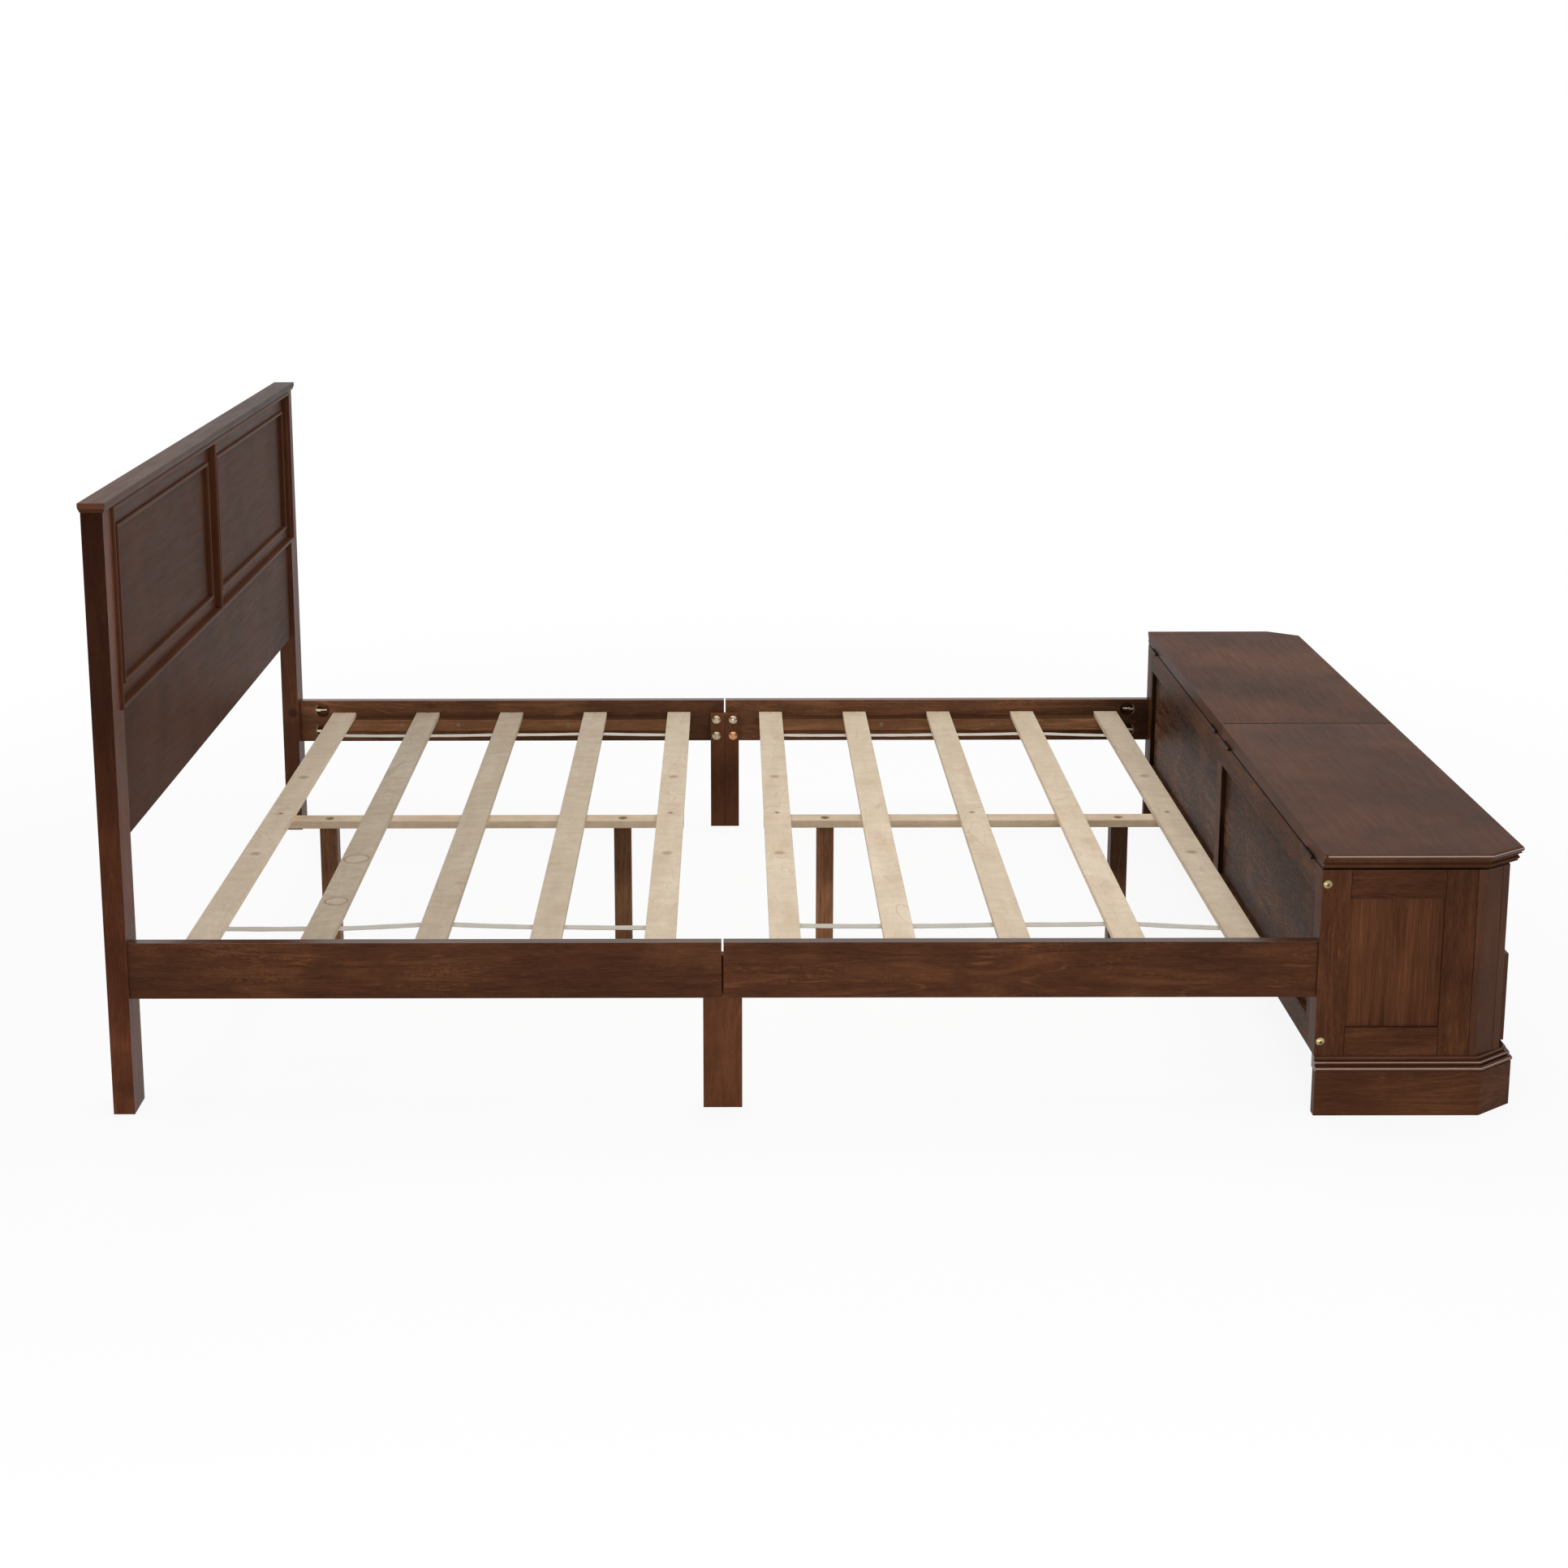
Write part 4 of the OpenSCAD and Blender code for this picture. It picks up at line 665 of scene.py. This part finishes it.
def strap(name, s, ks):
    """A tape that lies against the slats ks and hangs a little between them."""
    line = []
    for k in ks:
        y = s * STRAP_Y + WANDER[s][k] / 1000
        z = SLAT_LOW - TAPE_T * TAPE_DROP
        for dx in (-SLAT_W / 2 + TAPE_REST, SLAT_W / 2 - TAPE_REST):
            line.append(Vector((SLAT_XS[k] + dx, y, z)))
    path = [line[0]]
    for a, b in zip(line, line[1:]):
        free = (b - a).x > SLAT_W
        steps = STEPS_FREE if free else STEPS_HELD
        for j in range(1, steps + 1):
            u = j / steps
            p = a.lerp(b, u)
            if free:
                p.z -= TAPE_SAG * math.sin(math.pi * u)
            path.append(p)
    bm = bmesh.new()
    rows = []
    for i, p in enumerate(path):
        d = (path[min(i + 1, len(path) - 1)] - path[max(i - 1, 0)]).normalized()
        side = Vector((0, 0, 1)).cross(d).normalized()
        twist = TAPE_TWIST * math.sin(1.7 * i + s)
        row = []
        for u, w in TAPE_SECTION:
            rise = Vector((0, 0, w * TAPE_T / (2 * THICK) + u * twist))
            row.append(bm.verts.new(p + side * (u * TAPE_W / 2) + rise))
        rows.append(row)
    n = len(TAPE_SECTION)
    for a, b in zip(rows, rows[1:]):
        for j in range(n):
            bm.faces.new((a[j], b[j], b[(j + 1) % n], a[(j + 1) % n]))
    bm.faces.new(rows[0])
    bm.faces.new(rows[-1][::-1])
    bmesh.ops.recalc_face_normals(bm, faces=bm.faces)
    return keep(bm, name, tape.mat)


for s, side in ((-1, "near"), (1, "far")):
    for i, half in enumerate(("head", "foot")):
        ob = strap("strap_%s_%s" % (side, half), s, HALVES[i])
        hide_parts("slat_straps")

# ---------- countersunk screws ----------

CROSS = [(-1, 3), (1, 3), (1, 1), (3, 1), (3, -1), (1, -1),
         (1, -3), (-1, -3), (-1, -1), (-3, -1), (-3, 1), (-1, 1)]
CROSS_SCALE = 0.19                  # a third of the cross's half width, in radii of the head
CROSS_TAPER, HEAD_TAPER = 0.7, 0.8
HEAD_SIDES = 24
HEAD_PROUD, HEAD_DEEP = 0.0001, 0.0012
CLEAT_SCREW_R, SLAT_SCREW_R = 0.0042, 0.0036


def screw_head(bm, place, facing, radius):
    """A flat head with a cross recess, tapered underneath."""
    facing = Vector(facing)
    u = facing.orthogonal().normalized()
    v = facing.cross(u)

    def ring(points, deep):
        return [bm.verts.new(place + u * a + v * b - facing * deep) for a, b in points]

    turns = [2 * math.pi * i / HEAD_SIDES for i in range(HEAD_SIDES)]
    arc = [(math.cos(a), math.sin(a)) for a in turns]
    outer = ring([(radius * a, radius * b) for a, b in arc], -HEAD_PROUD)
    cross = [(radius * CROSS_SCALE * a, radius * CROSS_SCALE * b) for a, b in CROSS]
    inner = ring(cross, -HEAD_PROUD)
    recess = ring([(a * CROSS_TAPER, b * CROSS_TAPER) for a, b in cross], HEAD_DEEP)
    skirt = ring([(radius * HEAD_TAPER * a, radius * HEAD_TAPER * b) for a, b in arc], HEAD_DEEP)
    edges = []
    for top, low in ((outer, skirt), (inner, recess)):
        for i in range(len(top)):
            j = (i + 1) % len(top)
            bm.faces.new((top[i], top[j], low[j], low[i]))
            edges.append(bm.edges.get((top[i], top[j])))
    bm.faces.new(recess)
    bm.faces.new(skirt[::-1])
    bmesh.ops.triangle_fill(bm, use_beauty=True, use_dissolve=False, edges=edges)


screw_metal = metal("screw_steel", (0.20, 0.16, 0.11), (0.10, 0.075, 0.05), 0.35)
bm = bmesh.new()
mid_z = (CLEAT_LOW + SLAT_LOW) / 2
for s in (-1, 1):
    for mm in CLEAT_SCREWS:
        place = Vector((bed_x(mm), s * (CLEAT_IN - HEAD_PROUD), mid_z))
        screw_head(bm, place, (0, -s, 0), CLEAT_SCREW_R)
for k in SCREWED:
    place = Vector((SLAT_XS[k], 0.0, SLAT_TOP + HEAD_PROUD))
    screw_head(bm, place, (0, 0, 1), SLAT_SCREW_R)
bmesh.ops.recalc_face_normals(bm, faces=bm.faces)
keep(bm, "deck_screws", screw_metal)

# ---------- floor, backdrop and light ----------

FLOOR_X, FLOOR_Y = (-14, 14), (-12, 16)
corners = [(FLOOR_X[i], FLOOR_Y[j], 0) for i, j in ((0, 0), (1, 0), (1, 1), (0, 1))]
floor_mesh = bpy.data.meshes.new("floor")
floor_mesh.from_pydata(corners, [], [(0, 1, 2, 3)])
floor = bpy.data.objects.new("floor", floor_mesh)
bpy.context.scene.collection.objects.link(floor)


def ray_mix(nodes, a, b):
    """b for camera, glossy and transmission rays, a for the rest."""
    rays = nodes.new("LightPath").outputs
    total = rays["Is Camera Ray"]
    for other in ("Is Glossy Ray", "Is Transmission Ray"):
        n = nodes.new("Math", operation="MAXIMUM")
        total = nodes.fill(n, {0: total, 1: rays[other]}).outputs[0]
    return nodes.fill(nodes.new("MixShader"), {0: total, 1: a, 2: b}).outputs[0]


FLOOR_GREY = (0.86, 0.86, 0.86, 1)
WHITE = (1, 1, 1, 1)
# the floor glows more with the distance from the bed, until it is as white as the backdrop
GLOW = {"From Min": 1.2, "From Max": 3.4, "To Min": 0.90, "To Max": 1.0}

fm = bpy.data.materials.new("floor_white")
nodes = Nodes(fm, "OutputMaterial")
diff = nodes.fill(nodes.new("BsdfDiffuse"), {"Color": FLOOR_GREY}).outputs[0]
glow = nodes.fill(nodes.new("Emission"), {"Strength": 1.0}).outputs[0]
away = nodes.new("VectorMath", operation="LENGTH")
nodes.put(away.inputs[0], nodes.new("TexCoord").outputs["Object"])
reach = nodes.new("MapRange", interpolation_type="SMOOTHSTEP")
nodes.fill(reach, dict(GLOW, Value=away.outputs["Value"]))
some = nodes.fill(nodes.new("MixShader"), {0: reach.outputs[0], 1: diff, 2: glow}).outputs[0]
nodes.put(nodes.out.inputs[0], ray_mix(nodes, diff, some))
floor_mesh.materials.append(fm)

world = bpy.data.worlds.new("studio")
bpy.context.scene.world = world
nodes = Nodes(world, "OutputWorld")
unseen, seen = (nodes.fill(nodes.new("Background"), {"Color": WHITE, "Strength": k}).outputs[0]
                for k in (0.30, 1.0))
nodes.put(nodes.out.inputs[0], ray_mix(nodes, unseen, seen))


def light(name, place, target, energy, size_x, size_y):
    """A rectangular area light that faces a target."""
    data = bpy.data.lights.new(name, "AREA")
    data.energy = energy
    data.shape, data.size, data.size_y = "RECTANGLE", size_x, size_y
    ob = bpy.data.objects.new(name, data)
    bpy.context.scene.collection.objects.link(ob)
    ob.location = place
    ob.rotation_euler = (Vector(target) - Vector(place)).to_track_quat("-Z", "Y").to_euler()


light("top_light", (0.2, 0.3, 3.2), (0.2, 0.3, 0.0), 105, 4.6, 3.2)
light("front_light", (-0.1, -2.9, 0.40), (-0.1, 0.0, 0.35), 42, 4.4, 0.16)

# ---------- camera ----------

PHOTO = 1932                        # width and height of the photograph, in pixels
FOCAL = 2704.94                     # focal length, in its pixels
SHIFT = (68.85, -341.68)            # of the optical axis from its centre, in its pixels
SENSOR = 36.0
# from the front of the headboard posts, the centre line and the floor
CAM_X, CAM_Y, CAM_Z = 1.04154, -4.36634, 1.73296
YAW, PITCH, ROLL = (math.radians(a) for a in (-0.08, 10.43, -0.13))

fwd = Vector((math.sin(YAW) * math.cos(PITCH), math.cos(YAW) * math.cos(PITCH), -math.sin(PITCH)))
right = Vector((math.cos(YAW), -math.sin(YAW), 0))
up = right.cross(fwd)
rx = math.cos(ROLL) * right + math.sin(ROLL) * up
ux = -math.sin(ROLL) * right + math.cos(ROLL) * up
cam_data = bpy.data.cameras.new("camera")
cam = bpy.data.objects.new("camera", cam_data)
bpy.context.scene.collection.objects.link(cam)
cam.matrix_world = Matrix((
    (rx.x, ux.x, -fwd.x, HB_FRONT + CAM_X),
    (rx.y, ux.y, -fwd.y, CAM_Y),
    (rx.z, ux.z, -fwd.z, CAM_Z),
    (0, 0, 0, 1)))
cam_data.sensor_width = SENSOR
cam_data.lens = SENSOR * FOCAL / PHOTO
cam_data.shift_x, cam_data.shift_y = (shift / PHOTO for shift in SHIFT)
bpy.context.scene.camera = cam
bpy.context.scene.view_settings.view_transform = "Standard"
